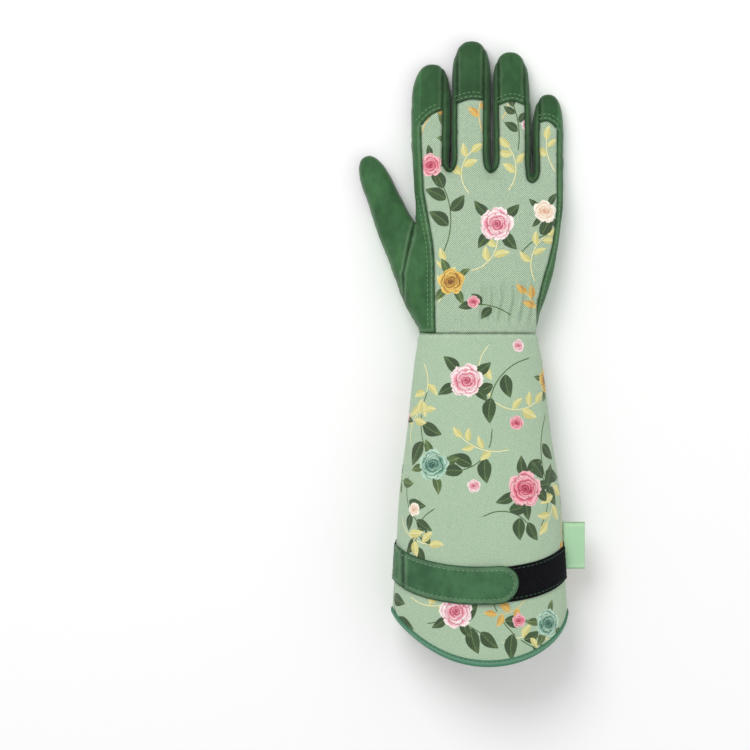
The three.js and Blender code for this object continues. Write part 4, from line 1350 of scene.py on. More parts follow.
@dataclass(frozen=True)
class PalmPad:
    """The quilted pad sewn to the palm, with its channels."""

    hand: Hand
    thickness: float = 2.4
    cell: float = 1.1
    channels: tuple[tuple[tuple[float, float], ...], ...] = (
        ((1.8, 72.8), (20.0, 67.5), (45.1, 57.2)),
        ((1.8, 72.8), (18.0, 55.0), (41.5, 29.5)),
        ((1.5, 21.7), (20.0, 22.6), (40.7, 23.8)),
    )

    def build(self, palm: BVHTree) -> bpy.types.Object:
        """Makes the pad against the palm's underside.

        Args:
            palm: the palm's surface in the row frame.

        Returns:
            The closed pad.
        """
        outline = self.hand.pad_outline()
        low, high = outline.min(0) - 2, outline.max(0) + 2
        size = high - low
        steps = np.ceil(size / self.cell).astype(int)
        flat = wrapped(
            "pad_flat",
            int(steps[0]),
            int(steps[1]),
            lambda u, v: np.column_stack([low[0] + u * size[0], low[1] + v * size[1], np.zeros(len(u))]),
        )
        skin = Skin.of(flat)
        bpy.data.objects.remove(flat)
        skin = skin.cut(inside(outline, skin.plan(), 30.0))[0]
        edge = np.maximum(inside(outline, skin.plan(), 30.0), 0)
        fill = np.clip(edge / 2.6, 0, 1) ** 0.55
        pressed = np.zeros(len(edge))
        for channel in self.channels:
            distance = line_distance(rounded(channel, 8), skin.plan())
            pressed = np.maximum(pressed, hump(distance, 0, 1.5))
        pressed = np.maximum(pressed, 0.75 * hump(edge, 2.4, 0.9))
        pressed = np.maximum(pressed, 0.75 * hump(edge, 4.6, 0.9))
        puff = self.thickness * (0.12 + 0.88 * fill) * (1 - 0.6 * pressed)
        top = np.empty(len(skin.points))
        for i, (x, y) in enumerate(skin.plan()):
            start = Vector(BENCH.to_row(np.array([x, y, -5.0])))
            hit = palm.ray_cast(start, Vector((0, 0, 1)))
            top[i] = 2.6 if hit[0] is None else BENCH.from_row(np.array(hit[0]))[2] + 0.05
        upper, lower = skin.points.copy(), skin.points.copy()
        upper[:, 2] = top
        lower[:, 2] = np.maximum(top - puff, 0.03)
        count = len(skin.points)
        edges = np.sort(np.vstack([skin.faces[:, pair] for pair in ([0, 1], [1, 2], [2, 0])]), axis=1)
        unique, times = np.unique(edges, axis=0, return_counts=True)
        a, b = unique[times == 1].T
        wall = np.vstack([np.column_stack([a, b, b + count]), np.column_stack([a, b + count, a + count])])
        faces = np.vstack([skin.faces, skin.faces[:, ::-1] + count, wall])
        piece = Skin(np.vstack([upper, lower]), faces).piece("quilted_pad")
        # The pad's channels and its edge get the painted seam shade and highlight.
        quilting = np.minimum(edge + 0.2, 3.2 * np.sqrt(-np.log(np.clip(pressed, 1e-6, 1))))
        return mended(seamed(piece, np.tile(quilting, 2)))


@dataclass
class Stitching:
    """Rows of single stitches, each a short bent thread, gathered into one piece for each thread colour."""

    name: str
    pitch: float = 3.1
    length: float = 2.35
    thickness: float = 0.5
    runs: list[np.ndarray] = field(default_factory=list)

    def follow(self, line: np.ndarray) -> None:
        """Adds a row along a line of pattern points that already lies on the surface."""
        self.runs.append(line)

    def press(self, line: np.ndarray, surface: BVHTree, half: Half) -> None:
        """Adds a row along a plan line, laid on the surface from above or below.

        Args:
            line: the plan line.
            surface: the surface in the row frame.
            half: the side it is laid on from.
        """
        run = []
        down = -1.0 if half is Half.BACK else 1.0
        for x, y in evenly(line, 0.8):
            start = Vector(BENCH.to_row(np.array([x, y, 90.0 if half is Half.BACK else -5.0])))
            hit = surface.ray_cast(start, Vector((0, 0, down)))
            if hit[0] is not None:
                run.append(BENCH.from_row(np.array(hit[0])))
        if len(run) > 3:
            self.runs.append(np.array(run))

    def build(self) -> bpy.types.Object:
        """Makes all the rows' stitches as one piece."""
        bpy.ops.object.select_all(action="DESELECT")
        bpy.ops.mesh.primitive_uv_sphere_add(segments=8, ring_count=6, radius=1)
        seed = bpy.context.object
        shape = np.array([v.co[:] for v in seed.data.vertices])
        faces = [tuple(f.vertices) for f in seed.data.polygons]
        bpy.data.objects.remove(seed)
        points, made = [], []
        for run in self.runs:
            line = evenly(run, self.pitch / 4)
            for i in range(0, len(line) - 4, 4):
                a, b, c = line[i], line[i + 2], line[min(i + 3, len(line) - 1)]
                way = c - a
                size = np.linalg.norm(way)
                if size < 0.5 or size > self.pitch * 1.5:
                    continue
                way /= size
                up = np.array([0, 0, 1.0])
                if abs(way[2]) > 0.9:
                    up = np.array([0, 1.0, 0])
                side = np.cross(up, way)
                side /= np.linalg.norm(side)
                up = np.cross(way, side)
                local = shape * [self.length / 2, self.thickness / 2, self.thickness / 2]
                middle = (a + c) / 2
                placed = middle + local[:, :1] * way + local[:, 1:2] * side + local[:, 2:] * up
                made.extend(tuple(k + len(points) * len(shape) for k in f) for f in faces)
                points.append(placed)
        mesh = bpy.data.meshes.new(self.name)
        mesh.from_pydata(BENCH.to_row(np.vstack(points)).tolist(), [], made)
        piece = bpy.data.objects.new(self.name, mesh)
        bpy.context.scene.collection.objects.link(piece)
        return piece


# Finishes

Colour = tuple[float, float, float]


def srgb(red: float, green: float, blue: float) -> Colour:
    """A colour given as the eye reads it, from 0 to 255, in the shader's linear scale."""
    shares = (red / 255, green / 255, blue / 255)
    return tuple(c / 12.92 if c <= 0.04045 else ((c + 0.055) / 1.055) ** 2.4 for c in shares)


@dataclass(frozen=True)
class Value:
    """The output of a shader node, with which sums can be written."""

    graph: "Graph"
    socket: bpy.types.NodeSocket

    def __add__(self, other: "Feed") -> "Value":
        """This and another."""
        return self.graph.math("ADD", self, other)

    def __sub__(self, other: "Feed") -> "Value":
        """This less another."""
        return self.graph.math("SUBTRACT", self, other)

    def __rsub__(self, other: "Feed") -> "Value":
        """Another less this."""
        return self.graph.math("SUBTRACT", other, self)

    def __mul__(self, other: "Feed") -> "Value":
        """This times another."""
        return self.graph.math("MULTIPLY", self, other)

    def __truediv__(self, other: "Feed") -> "Value":
        """This divided by another."""
        return self.graph.math("DIVIDE", self, other)

    def __pow__(self, other: "Feed") -> "Value":
        """This to the power of another."""
        return self.graph.math("POWER", self, other)

    def __abs__(self) -> "Value":
        """This without its sign."""
        return self.graph.math("ABSOLUTE", self)


Feed = Value | float | Colour


@dataclass(frozen=True)
class Graph:
    """Adds shader nodes to a tree and joins them."""

    tree: bpy.types.NodeTree

    def node(self, kind: str, feeds: dict[int | str, Feed], **settings: object) -> bpy.types.Node:
        """Adds a node, sets it and feeds its inputs."""
        made = self.tree.nodes.new(kind)
        for key, value in settings.items():
            setattr(made, key, value)
        for key, feed in feeds.items():
            self.put(made.inputs[key], feed)
        return made

    def value(self, kind: str, output: int | str, feeds: dict[int | str, Feed], **settings: object) -> Value:
        """Adds a node and gives one of its outputs."""
        return Value(self, self.node(kind, feeds, **settings).outputs[output])

    def put(self, socket: bpy.types.NodeSocket, feed: Feed) -> None:
        """Joins an output to a socket, or sets the socket's own value."""
        if isinstance(feed, Value):
            self.tree.links.new(feed.socket, socket)
        elif isinstance(feed, tuple) and len(socket.default_value) == 4:
            socket.default_value = (*feed, 1)
        else:
            socket.default_value = feed

    def math(self, operation: str, *feeds: Feed, clamp: bool = False) -> Value:
        """A sum on one, two or three numbers."""
        return self.value("ShaderNodeMath", 0, dict(enumerate(feeds)), operation=operation, use_clamp=clamp)

    def sine(self, feed: Feed) -> Value:
        """The sine of an angle."""
        return self.math("SINE", feed)

    def vector(self, operation: str, *feeds: Feed) -> Value:
        """A sum on vectors."""
        return self.value("ShaderNodeVectorMath", 0, dict(enumerate(feeds)), operation=operation)

    def scaled(self, feed: Feed, factor: float) -> Value:
        """A vector made longer."""
        return self.value("ShaderNodeVectorMath", 0, {0: feed, "Scale": factor}, operation="SCALE")

    def parts(self, feed: Feed) -> list[Value]:
        """The three parts of a vector."""
        return [Value(self, part) for part in self.node("ShaderNodeSeparateXYZ", {0: feed}).outputs]

    def together(self, *feeds: Feed) -> Value:
        """A vector of three numbers."""
        return self.value("ShaderNodeCombineXYZ", 0, dict(enumerate(feeds)))

    def mix(self, share: Feed, first: Feed, second: Feed, blend: str = "MIX") -> Value:
        """Mixes two colours."""
        feeds = {0: share, 6: first, 7: second}
        return self.value("ShaderNodeMix", 2, feeds, data_type="RGBA", blend_type=blend)

    def rise(self, feed: Feed, low: float, high: float, to_low: float = 0.0, to_high: float = 1.0) -> Value:
        """Goes smoothly from one number to another between two values."""
        feeds = dict(enumerate((feed, low, high, to_low, to_high)))
        return self.value("ShaderNodeMapRange", 0, feeds, interpolation_type="SMOOTHSTEP")

    def ramp(self, share: Feed, stops: Sequence[tuple[float, Colour]]) -> Value:
        """A colour from a ramp of flat steps."""
        made = self.node("ShaderNodeValToRGB", {0: share})
        made.color_ramp.interpolation = "CONSTANT"
        elements = made.color_ramp.elements
        while len(elements) < len(stops):
            elements.new(0.5)
        for element, (place, colour) in zip(elements, stops):
            element.position = place
            element.color = (*colour, 1)
        return Value(self, made.outputs[0])

    def noise(self, at: Feed, scale: float, detail: float = 3.0, roughness: float = 0.55) -> Value:
        """Smooth noise from 0 to 1."""
        feeds = {"Vector": at, "Scale": scale, "Detail": detail, "Roughness": roughness}
        return self.value("ShaderNodeTexNoise", "Fac", feeds)

    def cells(self, at: Feed, scale: float, feature: str) -> Value:
        """The distance within scattered cells."""
        return self.value("ShaderNodeTexVoronoi", "Distance", {"Vector": at, "Scale": scale}, feature=feature)

    def attribute(self, name: str, kind: str = "Vector") -> Value:
        """A vector or number that the piece's mesh holds."""
        return self.value("ShaderNodeAttribute", kind, {}, attribute_name=name)

    def place(self) -> Value:
        """The place on the object, in metres."""
        return self.value("ShaderNodeTexCoord", "Object", {})

    def bump(self, height: Feed, strength: float, distance: float) -> Value:
        """A normal bent by a height."""
        return self.value("ShaderNodeBump", 0, {"Strength": strength, "Distance": distance, "Height": height})

    def use(self, effect: bpy.types.NodeTree, **feeds: Feed) -> dict[str, Value]:
        """Places a shared effect, feeds it and gives its outputs by name."""
        made = self.node("ShaderNodeGroup", {}, node_tree=effect)
        for name, feed in feeds.items():
            self.put(made.inputs[name], feed)
        return {output.name: Value(self, output) for output in made.outputs}


@dataclass(frozen=True)
class Effect:
    """A shader node group, described by what it takes, what it gives and the formula between them."""

    takes: dict[str, tuple[str, float]]
    gives: dict[str, str]
    formula: Callable[..., Sequence[Value]]

    def build(self) -> bpy.types.NodeTree:
        """Makes the node group."""
        tree = bpy.data.node_groups.new(self.formula.__name__, "ShaderNodeTree")
        for label, (kind, plain) in self.takes.items():
            socket = tree.interface.new_socket(label, in_out="INPUT", socket_type=f"NodeSocket{kind}")
            if kind == "Float":
                socket.default_value = plain
        for label, kind in self.gives.items():
            tree.interface.new_socket(label, in_out="OUTPUT", socket_type=f"NodeSocket{kind}")
        g = Graph(tree)
        given, made = g.node("NodeGroupInput", {}), g.node("NodeGroupOutput", {})
        results = self.formula(g, *(Value(g, given.outputs[label]) for label in self.takes))
        for label, result in zip(self.gives, results):
            g.put(made.inputs[label], result)
        return tree


def woven_threads(g: Graph, cloth: Value, across: Value, along: Value, looseness: Value) -> Sequence[Value]:
    """Woven threads over the cloth's own millimetres.

    Args:
        g: the group's graph.
        cloth: the place on the cloth.
        across: how wide a lengthwise thread is.
        along: how wide a crosswise thread is.
        looseness: how far the threads wander.

    Returns:
        How high the thread on top stands, which thread it is, and its fleck.
    """
    wander = (g.noise(cloth, 0.55, 2.0) - 0.5) * looseness
    fine = (g.noise(cloth, 1.7, 1.0) - 0.5) * looseness
    x, y, _ = g.parts(cloth)
    warp = g.sine((x + wander * 5.0) / across * math.pi)
    weft = g.sine((y + fine * 2.2) / along * math.pi)
    crossing = warp * weft
    return abs(crossing) ** 0.6, g.rise(crossing, -0.35, 0.35), g.noise(cloth, 2.6, 2.0, 0.7)


def suede_nap(g: Graph, place: Value, grain: Value) -> Sequence[Value]:
    """The short nap of suede, over the object's own metres.

    Args:
        g: the group's graph.
        place: the place on the object.
        grain: how fine the nap is.

    Returns:
        A fine height, a soft cloudiness and a speck.
    """
    at = g.vector("MULTIPLY", place, g.together(grain, grain, grain))
    brushed = g.vector("MULTIPLY", at, (1.0, 0.62, 1.0))
    height = g.noise(brushed, 1500.0, 3.0, 0.65) * 0.7 + g.cells(at, 1300.0, "F1") * 0.5
    cloud = g.noise(at, 45.0) * 0.6 + g.noise(brushed, 210.0) * 0.4
    return height, cloud, g.noise(brushed, 900.0, 2.0, 0.8)


def painted_seam_shade(
    g: Graph, colour: Value, seam: Value, place: Value, deep: Value, ridge_highlight: Value
) -> Sequence[Value]:
    """A colour with painted shade in the groove of a seam and a painted highlight on the ridge beside it.

    Args:
        g: the group's graph.
        colour: the colour away from the seams.
        seam: the distance from the seam in millimetres.
        place: the place on the object.
        deep: how dark the painted shade in the groove is.
        ridge_highlight: how strong the painted highlight on the ridge is.

    Returns:
        The colour.
    """
    away = seam + (g.noise(place, 260.0, 2.0) - 0.5) * 1.2
    # proud marks the ridge beside the seam, which gets a painted highlight; darker holds the painted shade in
    # the groove.
    proud = g.rise(away, 0.9, 1.9) * g.rise(away, 3.6, 2.1) * ridge_highlight
    shade = g.mix(1.0, colour, (0.2, 0.22, 0.2), "MULTIPLY")
    darker = g.mix(g.rise(away, 1.3, 0.1) * deep, colour, shade)
    return (g.mix(proud, darker, g.mix(1.0, colour, (0.2, 0.21, 0.17), "ADD")),)


class Ink(Enum):
    """The inks of the printed motifs: the dark, middle and light tone of each."""

    DEEP_GREEN = (srgb(30, 54, 26), srgb(56, 86, 42), srgb(112, 142, 82))
    OLIVE = (srgb(52, 78, 38), srgb(88, 116, 58), srgb(150, 172, 104))
    STRAW = (srgb(196, 188, 104), srgb(232, 226, 152), srgb(250, 247, 206))
    GOLD = (srgb(196, 140, 48), srgb(232, 192, 92), srgb(250, 232, 160))
    PINK = (srgb(176, 52, 84), srgb(238, 150, 168), srgb(254, 240, 238))
    CORAL = (srgb(150, 28, 62), srgb(226, 92, 118), srgb(250, 196, 202))
    TEAL = (srgb(30, 74, 62), srgb(84, 142, 118), srgb(188, 220, 198))
    AMBER = (srgb(96, 44, 16), srgb(186, 132, 40), srgb(240, 204, 104))
    CREAM = (srgb(214, 150, 120), srgb(246, 220, 190), srgb(255, 250, 236))

    @property
    def number(self) -> int:
        """The number that a motif's stamp carries for the ink."""
        return list(Ink).index(self) + 1


def inked(g: Graph, code: Value) -> tuple[Value, Value, Value, Value]:
    """Reads the number in a motif's stamp.

    Args:
        g: the group's graph.
        code: the ink's number plus the motif's own share of irregularity.

    Returns:
        The dark, middle and light tone of the ink, and the motif's share.
    """
    share = g.math("FLOOR", code + 0.001) / 16.0
    tones = [
        g.ramp(share, [(0.0, (0.0, 0.0, 0.0))] + [((ink.number - 0.5) / 16, ink.value[k]) for ink in Ink])
        for k in range(3)
    ]
    return *tones, g.math("FRACT", code + 0.001)


def printed_leaf(g: Graph, stamp: Value, cloth: Value) -> Sequence[Value]:
    """A printed leaf in its own lengths, from its stalk at -1 to its point at 1, with its midrib and veins.

    Args:
        g: the group's graph.
        stamp: the place along and across the leaf, and its code.
        cloth: the place on the cloth.

    Returns:
        The colour and where it covers the cloth.
    """
    u, v, code = g.parts(stamp)
    dark, middle, light, seed = inked(g, code)
    ragged = (g.noise(cloth, 0.9, 2.0) - 0.5) * 0.10
    away = abs(v + ragged * 0.5)
    body = g.math("MAXIMUM", 1.0 - u * u, 0.0) ** 0.85
    teeth = g.sine((u + away * -0.8) * 34.0) * 0.012
    left = body * (0.56 - seed * 0.26) * (1.0 - u * 0.35) + teeth - away
    colour = g.mix(g.rise(v, -0.05, 0.05) * 0.35 + g.noise(cloth, 1.1, 3.0, 0.7) * 0.4, dark, middle)
    veins = g.sine((u - away * 1.5) * 21.0)
    colour = g.mix(g.rise(veins, 0.6, 1.0) * 0.35, colour, light)
    colour = g.mix(g.rise(u, 0.2, 0.95) * 0.3, colour, light)
    colour = g.mix(g.rise(left, 0.09, 0.0) * 0.5, colour, dark)
    rib = g.rise(away, 0.04, 0.012) * g.rise(u, 0.95, 0.5)
    return g.mix(rib * 0.75, colour, light), g.rise(left, -0.012, 0.03)


@dataclass(frozen=True)
class Ring:
    """A ring of petals: its middle, radius, number of petals, turn as a share, and how warm it is."""

    x: float
    y: float
    radius: float
    petals: int
    turn: float
    warmth: float


RINGS = (
    Ring(0.0, 0.0, 0.97, 5, 0.2, 0.10),
    Ring(-0.06, 0.05, 0.80, 5, 0.75, 0.12),
    Ring(0.05, -0.03, 0.61, 4, 0.1, 0.30),
    Ring(-0.02, -0.07, 0.44, 4, 0.62, 0.45),
    Ring(0.04, -0.02, 0.29, 3, 0.3, 0.62),
    Ring(0.0, 0.01, 0.15, 3, 0.9, 0.85),
)


def printed_bloom(g: Graph, stamp: Value, cloth: Value) -> Sequence[Value]:
    """A printed many-petalled blossom of radius 1, as rings of petals that lie on one another.

    Args:
        g: the group's graph.
        stamp: the place in the blossom, and its code.
        cloth: the place on the cloth.

    Returns:
        The colour and where it covers the cloth.
    """
    x, y, code = g.parts(stamp)
    dark, middle, light, seed = inked(g, code)
    rough = g.noise(cloth, 0.32, 3.0, 0.6) - 0.5
    brush = (g.noise(cloth, 1.3, 3.0, 0.75) - 0.5) * 0.9
    colour, mask = None, None
    for ring in RINGS:
        px, py = x - ring.x, y - ring.y
        r = g.math("SQRT", px * px + py * py)
        turned = g.math("ARCTAN2", py, px) + (seed * 6.28 + ring.turn * 6.28)
        wave = abs(g.math("COSINE", turned * (ring.petals / 2)))
        lobe = g.math("MULTIPLY_ADD", wave**0.45, 0.2, 0.8)
        edge = lobe * ring.radius + rough * (0.3 * ring.radius + 0.08)
        left, share = edge - r, r / edge
        cup = g.sine(g.math("MULTIPLY_ADD", turned, ring.petals / 2, 0.6)) * 0.12
        shade = g.rise(share, 1.0, 0.55, 0.0, 0.75) + brush + ring.warmth * 0.5
        shade = g.math("ADD", shade, cup, clamp=True)
        petal = g.mix(g.rise(shade, 0.05, 0.62), light, middle)
        petal = g.mix(g.rise(shade, 0.62, 1.1), petal, dark)
        gap = g.rise(wave, 0.22, 0.02) * g.rise(share, 0.35, 0.8)
        petal = g.mix(gap * 0.55, petal, dark)
        covered = g.rise(left, -0.012, 0.02)
        if mask is None:
            mask, colour = covered, petal
            continue
        shadow = g.rise(left, -0.11, 0.0) * (1.0 - covered)
        colour = g.mix(covered, g.mix(shadow * 0.5, colour, dark), petal)
    return colour, mask


def printed_stem(g: Graph, stamp: Value, cloth: Value) -> Sequence[Value]:
    """A printed stem.

    Args:
        g: the group's graph.
        stamp: the distance from the stem's middle line, its half width in millimetres, and its code.
        cloth: the place on the cloth; not used.

    Returns:
        The colour and where it covers the cloth.
    """
    away, half, code = g.parts(stamp)
    dark, _, light, _ = inked(g, code)
    return g.mix(g.rise(away, -0.3, 0.3), dark, light), g.rise(half - abs(away), -0.06, 0.14)


MOTIF_TAKES = {"Stamp": ("Vector", 0.0), "Cloth": ("Vector", 0.0)}
MOTIF_GIVES = {"Colour": "Color", "Mask": "Float"}
EFFECTS = {
    "woven": Effect(
        {
            "Cloth": ("Vector", 0),
            "Across": ("Float", 0.7),
            "Along": ("Float", 0.65),
            "Looseness": ("Float", 0.25),
        },
        {"Height": "Float", "Weft": "Float", "Fleck": "Float"},
        woven_threads,
    ),
    "nap": Effect(
        {"Place": ("Vector", 0), "Grain": ("Float", 1.0)},
        {"Height": "Float", "Cloud": "Float", "Speck": "Float"},
        suede_nap,
    ),
    # Painted shade in the seams' grooves and a painted highlight on the ridges beside them.
    "edges": Effect(
        {
            "Colour": ("Color", 0),
            "Seam": ("Float", 20),
            "Place": ("Vector", 0),
            "Deep": ("Float", 0.5),
            "Worn": ("Float", 0.2),
        },
        {"Colour": "Color"},
        painted_seam_shade,
    ),
    "leaf": Effect(MOTIF_TAKES, MOTIF_GIVES, printed_leaf),
    "bloom": Effect(MOTIF_TAKES, MOTIF_GIVES, printed_bloom),
    "stem": Effect(MOTIF_TAKES, MOTIF_GIVES, printed_stem),
}


Effects = dict[str, bpy.types.NodeTree]


@dataclass(frozen=True)
class Finish:
    """A material, worked out from a few colours and measures."""

    name: str

    def look(self, g: Graph, effects: Effects) -> dict[str, Feed]:
        """What feeds each input of the shader."""
        raise NotImplementedError

    def build(self, effects: Effects) -> bpy.types.Material:
        """Makes the material."""
        material = bpy.data.materials.new(self.name)
        material.use_nodes = True
        g = Graph(material.node_tree)
        for key, feed in self.look(g, effects).items():
            g.put(material.node_tree.nodes["Principled BSDF"].inputs[key], feed)
        return material


def with_seam_shade(g: Graph, effects: Effects, colour: Feed, deep: float, ridge_highlight: float) -> Value:
    """A colour with painted shade in its seams' grooves and a painted highlight on the ridges beside them.

    Args:
        g: the material's graph.
        effects: the shared effects.
        colour: the colour away from the seams.
        deep: how dark the painted shade in a seam's groove is.
        ridge_highlight: how strong the painted highlight on the ridge beside it is.

    Returns:
        The colour.
    """
    seam = g.attribute("seam", "Fac")
    return g.use(effects["edges"], Colour=colour, Seam=seam, Place=g.place(), Deep=deep, Worn=ridge_highlight)["Colour"]


@dataclass(frozen=True)
class PlainPaint(Finish):
    """A plain matt colour."""

    colour: Colour
    roughness: float = 0.9

    def look(self, g: Graph, effects: Effects) -> dict[str, Feed]:
        """What feeds each input of the shader."""
        return {"Base Color": self.colour, "Roughness": self.roughness}


@dataclass(frozen=True)
class PrintedCanvas(Finish):
    """Sage canvas with its woven threads and the flower print."""

    across: float
    along: float
    contrast: float
    ground: Colour = srgb(152, 184, 152)
    dot: Colour = srgb(104, 150, 132)
    slub: Colour = srgb(208, 217, 184)

    def look(self, g: Graph, effects: Effects) -> dict[str, Feed]:
        """What feeds each input of the shader."""
        cloth = g.attribute("cloth")
        weave = g.use(effects["woven"], Cloth=cloth, Across=self.across, Along=self.along)
        height, fleck = weave["Height"], weave["Fleck"]
        faded = g.rise(g.noise(cloth, 0.045, 2.0), 0.3, 0.7)
        ground = g.mix(faded, self.ground, g.mix(0.35, self.ground, self.dot))
        threads = g.mix(weave["Weft"], self.dot, self.slub)
        threads = g.mix(g.rise(fleck, 0.42, 0.8) * 0.6, threads, self.ground)
        colour = g.mix(self.contrast, ground, threads)
        for layer, motif in (("stem", "stem"), ("leaf_b", "leaf"), ("leaf_a", "leaf"), ("bloom", "bloom")):
            printed = g.use(effects[motif], Stamp=g.attribute(layer), Cloth=cloth)
            colour = g.mix(printed["Mask"], colour, printed["Colour"])
        # Painted shade between the threads where the weave lies low, and a painted highlight on the raised
        # weft threads.
        shade = g.mix(1.0, colour, (0.45, 0.52, 0.45), "MULTIPLY")
        colour = g.mix(g.rise(height, 0.55, 0.05) * 0.22, colour, shade)
        crown_highlight = weave["Weft"] * g.rise(height, 0.5, 1.0)
        colour = g.mix(crown_highlight * 0.10, colour, (0.9, 0.93, 0.85))
        return {
            "Base Color": with_seam_shade(g, effects, colour, 0.6, 0.1),
            "Roughness": g.rise(fleck, 0.2, 0.8, 0.74, 0.9),
            "Normal": g.bump(height, 0.35, 0.00025),
            "Sheen Weight": 0.12,
            "Sheen Roughness": 0.6,
        }


@dataclass(frozen=True)
class Suede(Finish):
    """Napped synthetic leather, cloudy and faintly brushed."""

    dark: Colour
    light: Colour
    grain: float = 1.0
    speck: float = 0.25
    sheen: float = 0.15
    # How strong the painted highlight beside the seams is, and how dark the painted shade in them is.
    ridge_highlight: float = 0.3
    deep: float = 0.8
    clouds: tuple[float, float] = (0.32, 0.68)

    def look(self, g: Graph, effects: Effects) -> dict[str, Feed]:
        """What feeds each input of the shader."""
        nap_ = g.use(effects["nap"], Place=g.place(), Grain=self.grain)
        speck = nap_["Speck"]
        cloud = g.rise(nap_["Cloud"], *self.clouds)
        share = g.math("ADD", cloud, (speck - 0.5) * (self.speck * 4), clamp=True)
        return {
            "Base Color": with_seam_shade(g, effects, g.mix(share, self.dark, self.light), self.deep, self.ridge_highlight),
            "Roughness": g.rise(speck, 0.25, 0.75, 0.62, 0.85),
            "Normal": g.bump(nap_["Height"], 0.35, 0.0003),
            "Sheen Weight": self.sheen,
            "Sheen Roughness": 0.45,
            "Specular IOR Level": 0.3,
        }


@dataclass(frozen=True)
class TouchLeather(Finish):
    """Smooth black leather with a fine pebbled grain."""

    dark: Colour
    light: Colour

    def look(self, g: Graph, effects: Effects) -> dict[str, Feed]:
        """What feeds each input of the shader."""
        place = g.place()
        pebbles = g.cells(place, 1100.0, "SMOOTH_F1")
        colour = g.mix(g.rise(g.noise(place, 120.0), 0.35, 0.7), self.dark, self.light)
        return {
            "Base Color": with_seam_shade(g, effects, colour, 0.6, 0.3),
            "Roughness": g.rise(pebbles, 0.1, 0.8, 0.38, 0.6),
            "Normal": g.bump(pebbles, 0.25, 0.0002),
        }


@dataclass(frozen=True)
class RibbedTape(Finish):
    """Woven tape with fine ribs over the object's own metres."""

    dark: Colour
    light: Colour
    rib: float = 0.55
    roughness: tuple[float, float] = (0.5, 0.75)

    def look(self, g: Graph, effects: Effects) -> dict[str, Feed]:
        """What feeds each input of the shader."""
        at = g.scaled(g.place(), 1000.0)
        weave = g.use(effects["woven"], Cloth=at, Across=self.rib, Along=self.rib * 0.6, Looseness=0.1)
        # The ribs' tops are painted lighter and the hollows between them darker, as painted shade, with a
        # random fleck.
        share = g.math("ADD", weave["Height"] * 0.6, weave["Fleck"] * 0.5, clamp=True)
        return {
            "Base Color": with_seam_shade(g, effects, g.mix(share, self.dark, self.light), 0.5, 0.3),
            "Roughness": g.rise(weave["Fleck"], 0.2, 0.8, *self.roughness),
            "Normal": g.bump(weave["Height"], 0.4, 0.0002),
        }


@dataclass(frozen=True)
class LoopPile(Finish):
    """The black loop side of a hook-and-loop fastener: a mat of small curled threads."""

    dark: Colour
    light: Colour

    def look(self, g: Graph, effects: Effects) -> dict[str, Feed]:
        """What feeds each input of the shader."""
        place = g.place()
        bend = g.noise(place, 700.0, 2.0)
        bends = g.together(bend, g.noise(place, 640.0, 2.0, 0.6), bend)
        swirl = g.vector("ADD", g.scaled(place, 1400.0), bends)
        thread = g.rise(g.cells(swirl, 1.0, "DISTANCE_TO_EDGE"), 0.16, 0.02)
        return {
            # The curled threads are painted lighter than the gaps between them, which carry painted shade.
            "Base Color": g.mix(thread * 0.7, self.dark, self.light),
            "Roughness": g.rise(thread, 0.0, 1.0, 0.95, 0.7),
            "Normal": g.bump(thread, 0.8, 0.0004),
            "Specular IOR Level": 0.12,
        }


@dataclass(frozen=True)
class Thread(Finish):
    """Twisted sewing thread."""

    dark: Colour
    light: Colour

    def look(self, g: Graph, effects: Effects) -> dict[str, Feed]:
        """What feeds each input of the shader."""
        place = g.place()
        feeds = {"Vector": place, "Scale": 900.0, "Distortion": 1.5}
        twist = g.value("ShaderNodeTexWave", "Fac", feeds, wave_type="BANDS", bands_direction="DIAGONAL")
        return {
            # The twist's grooves are painted darker as shade, with a random tone on top.
            "Base Color": g.mix(twist * 0.6 + g.noise(place, 300.0) * 0.4, self.dark, self.light),
            "Roughness": 0.55,
            "Normal": g.bump(twist, 0.4, 0.0001),
        }


# The flower print

FAR = 90.0

@dataclass(frozen=True)
class Leaf:
    """One printed leaf: the middle of its length, the way it points in degrees, its length and its ink."""

    x: float
    y: float
    way: float
    length: float
    ink: Ink
    seed: float = 0.3


@dataclass(frozen=True)
class Bloom:
    """One printed blossom: its middle, radius and ink, how it is turned and how round it is."""

    x: float
    y: float
    radius: float
    ink: Ink
    turn: float = 0.0
    squash: float = 1.0


@dataclass(frozen=True)
class Stem:
    """One printed stem: a line of points in the cloth's millimetres."""

    line: np.ndarray
    half: float
    ink: Ink


def pointing(way: float) -> np.ndarray:
    """The unit step in a direction given in degrees."""
    return np.array([math.cos(math.radians(way)), math.sin(math.radians(way))])


def turned(points: np.ndarray, way: float) -> np.ndarray:
    """Plan points as distances along and across a direction given in degrees."""
    c, s = pointing(way)
    return np.array([points[:, 0] * c + points[:, 1] * s, points[:, 1] * c - points[:, 0] * s])


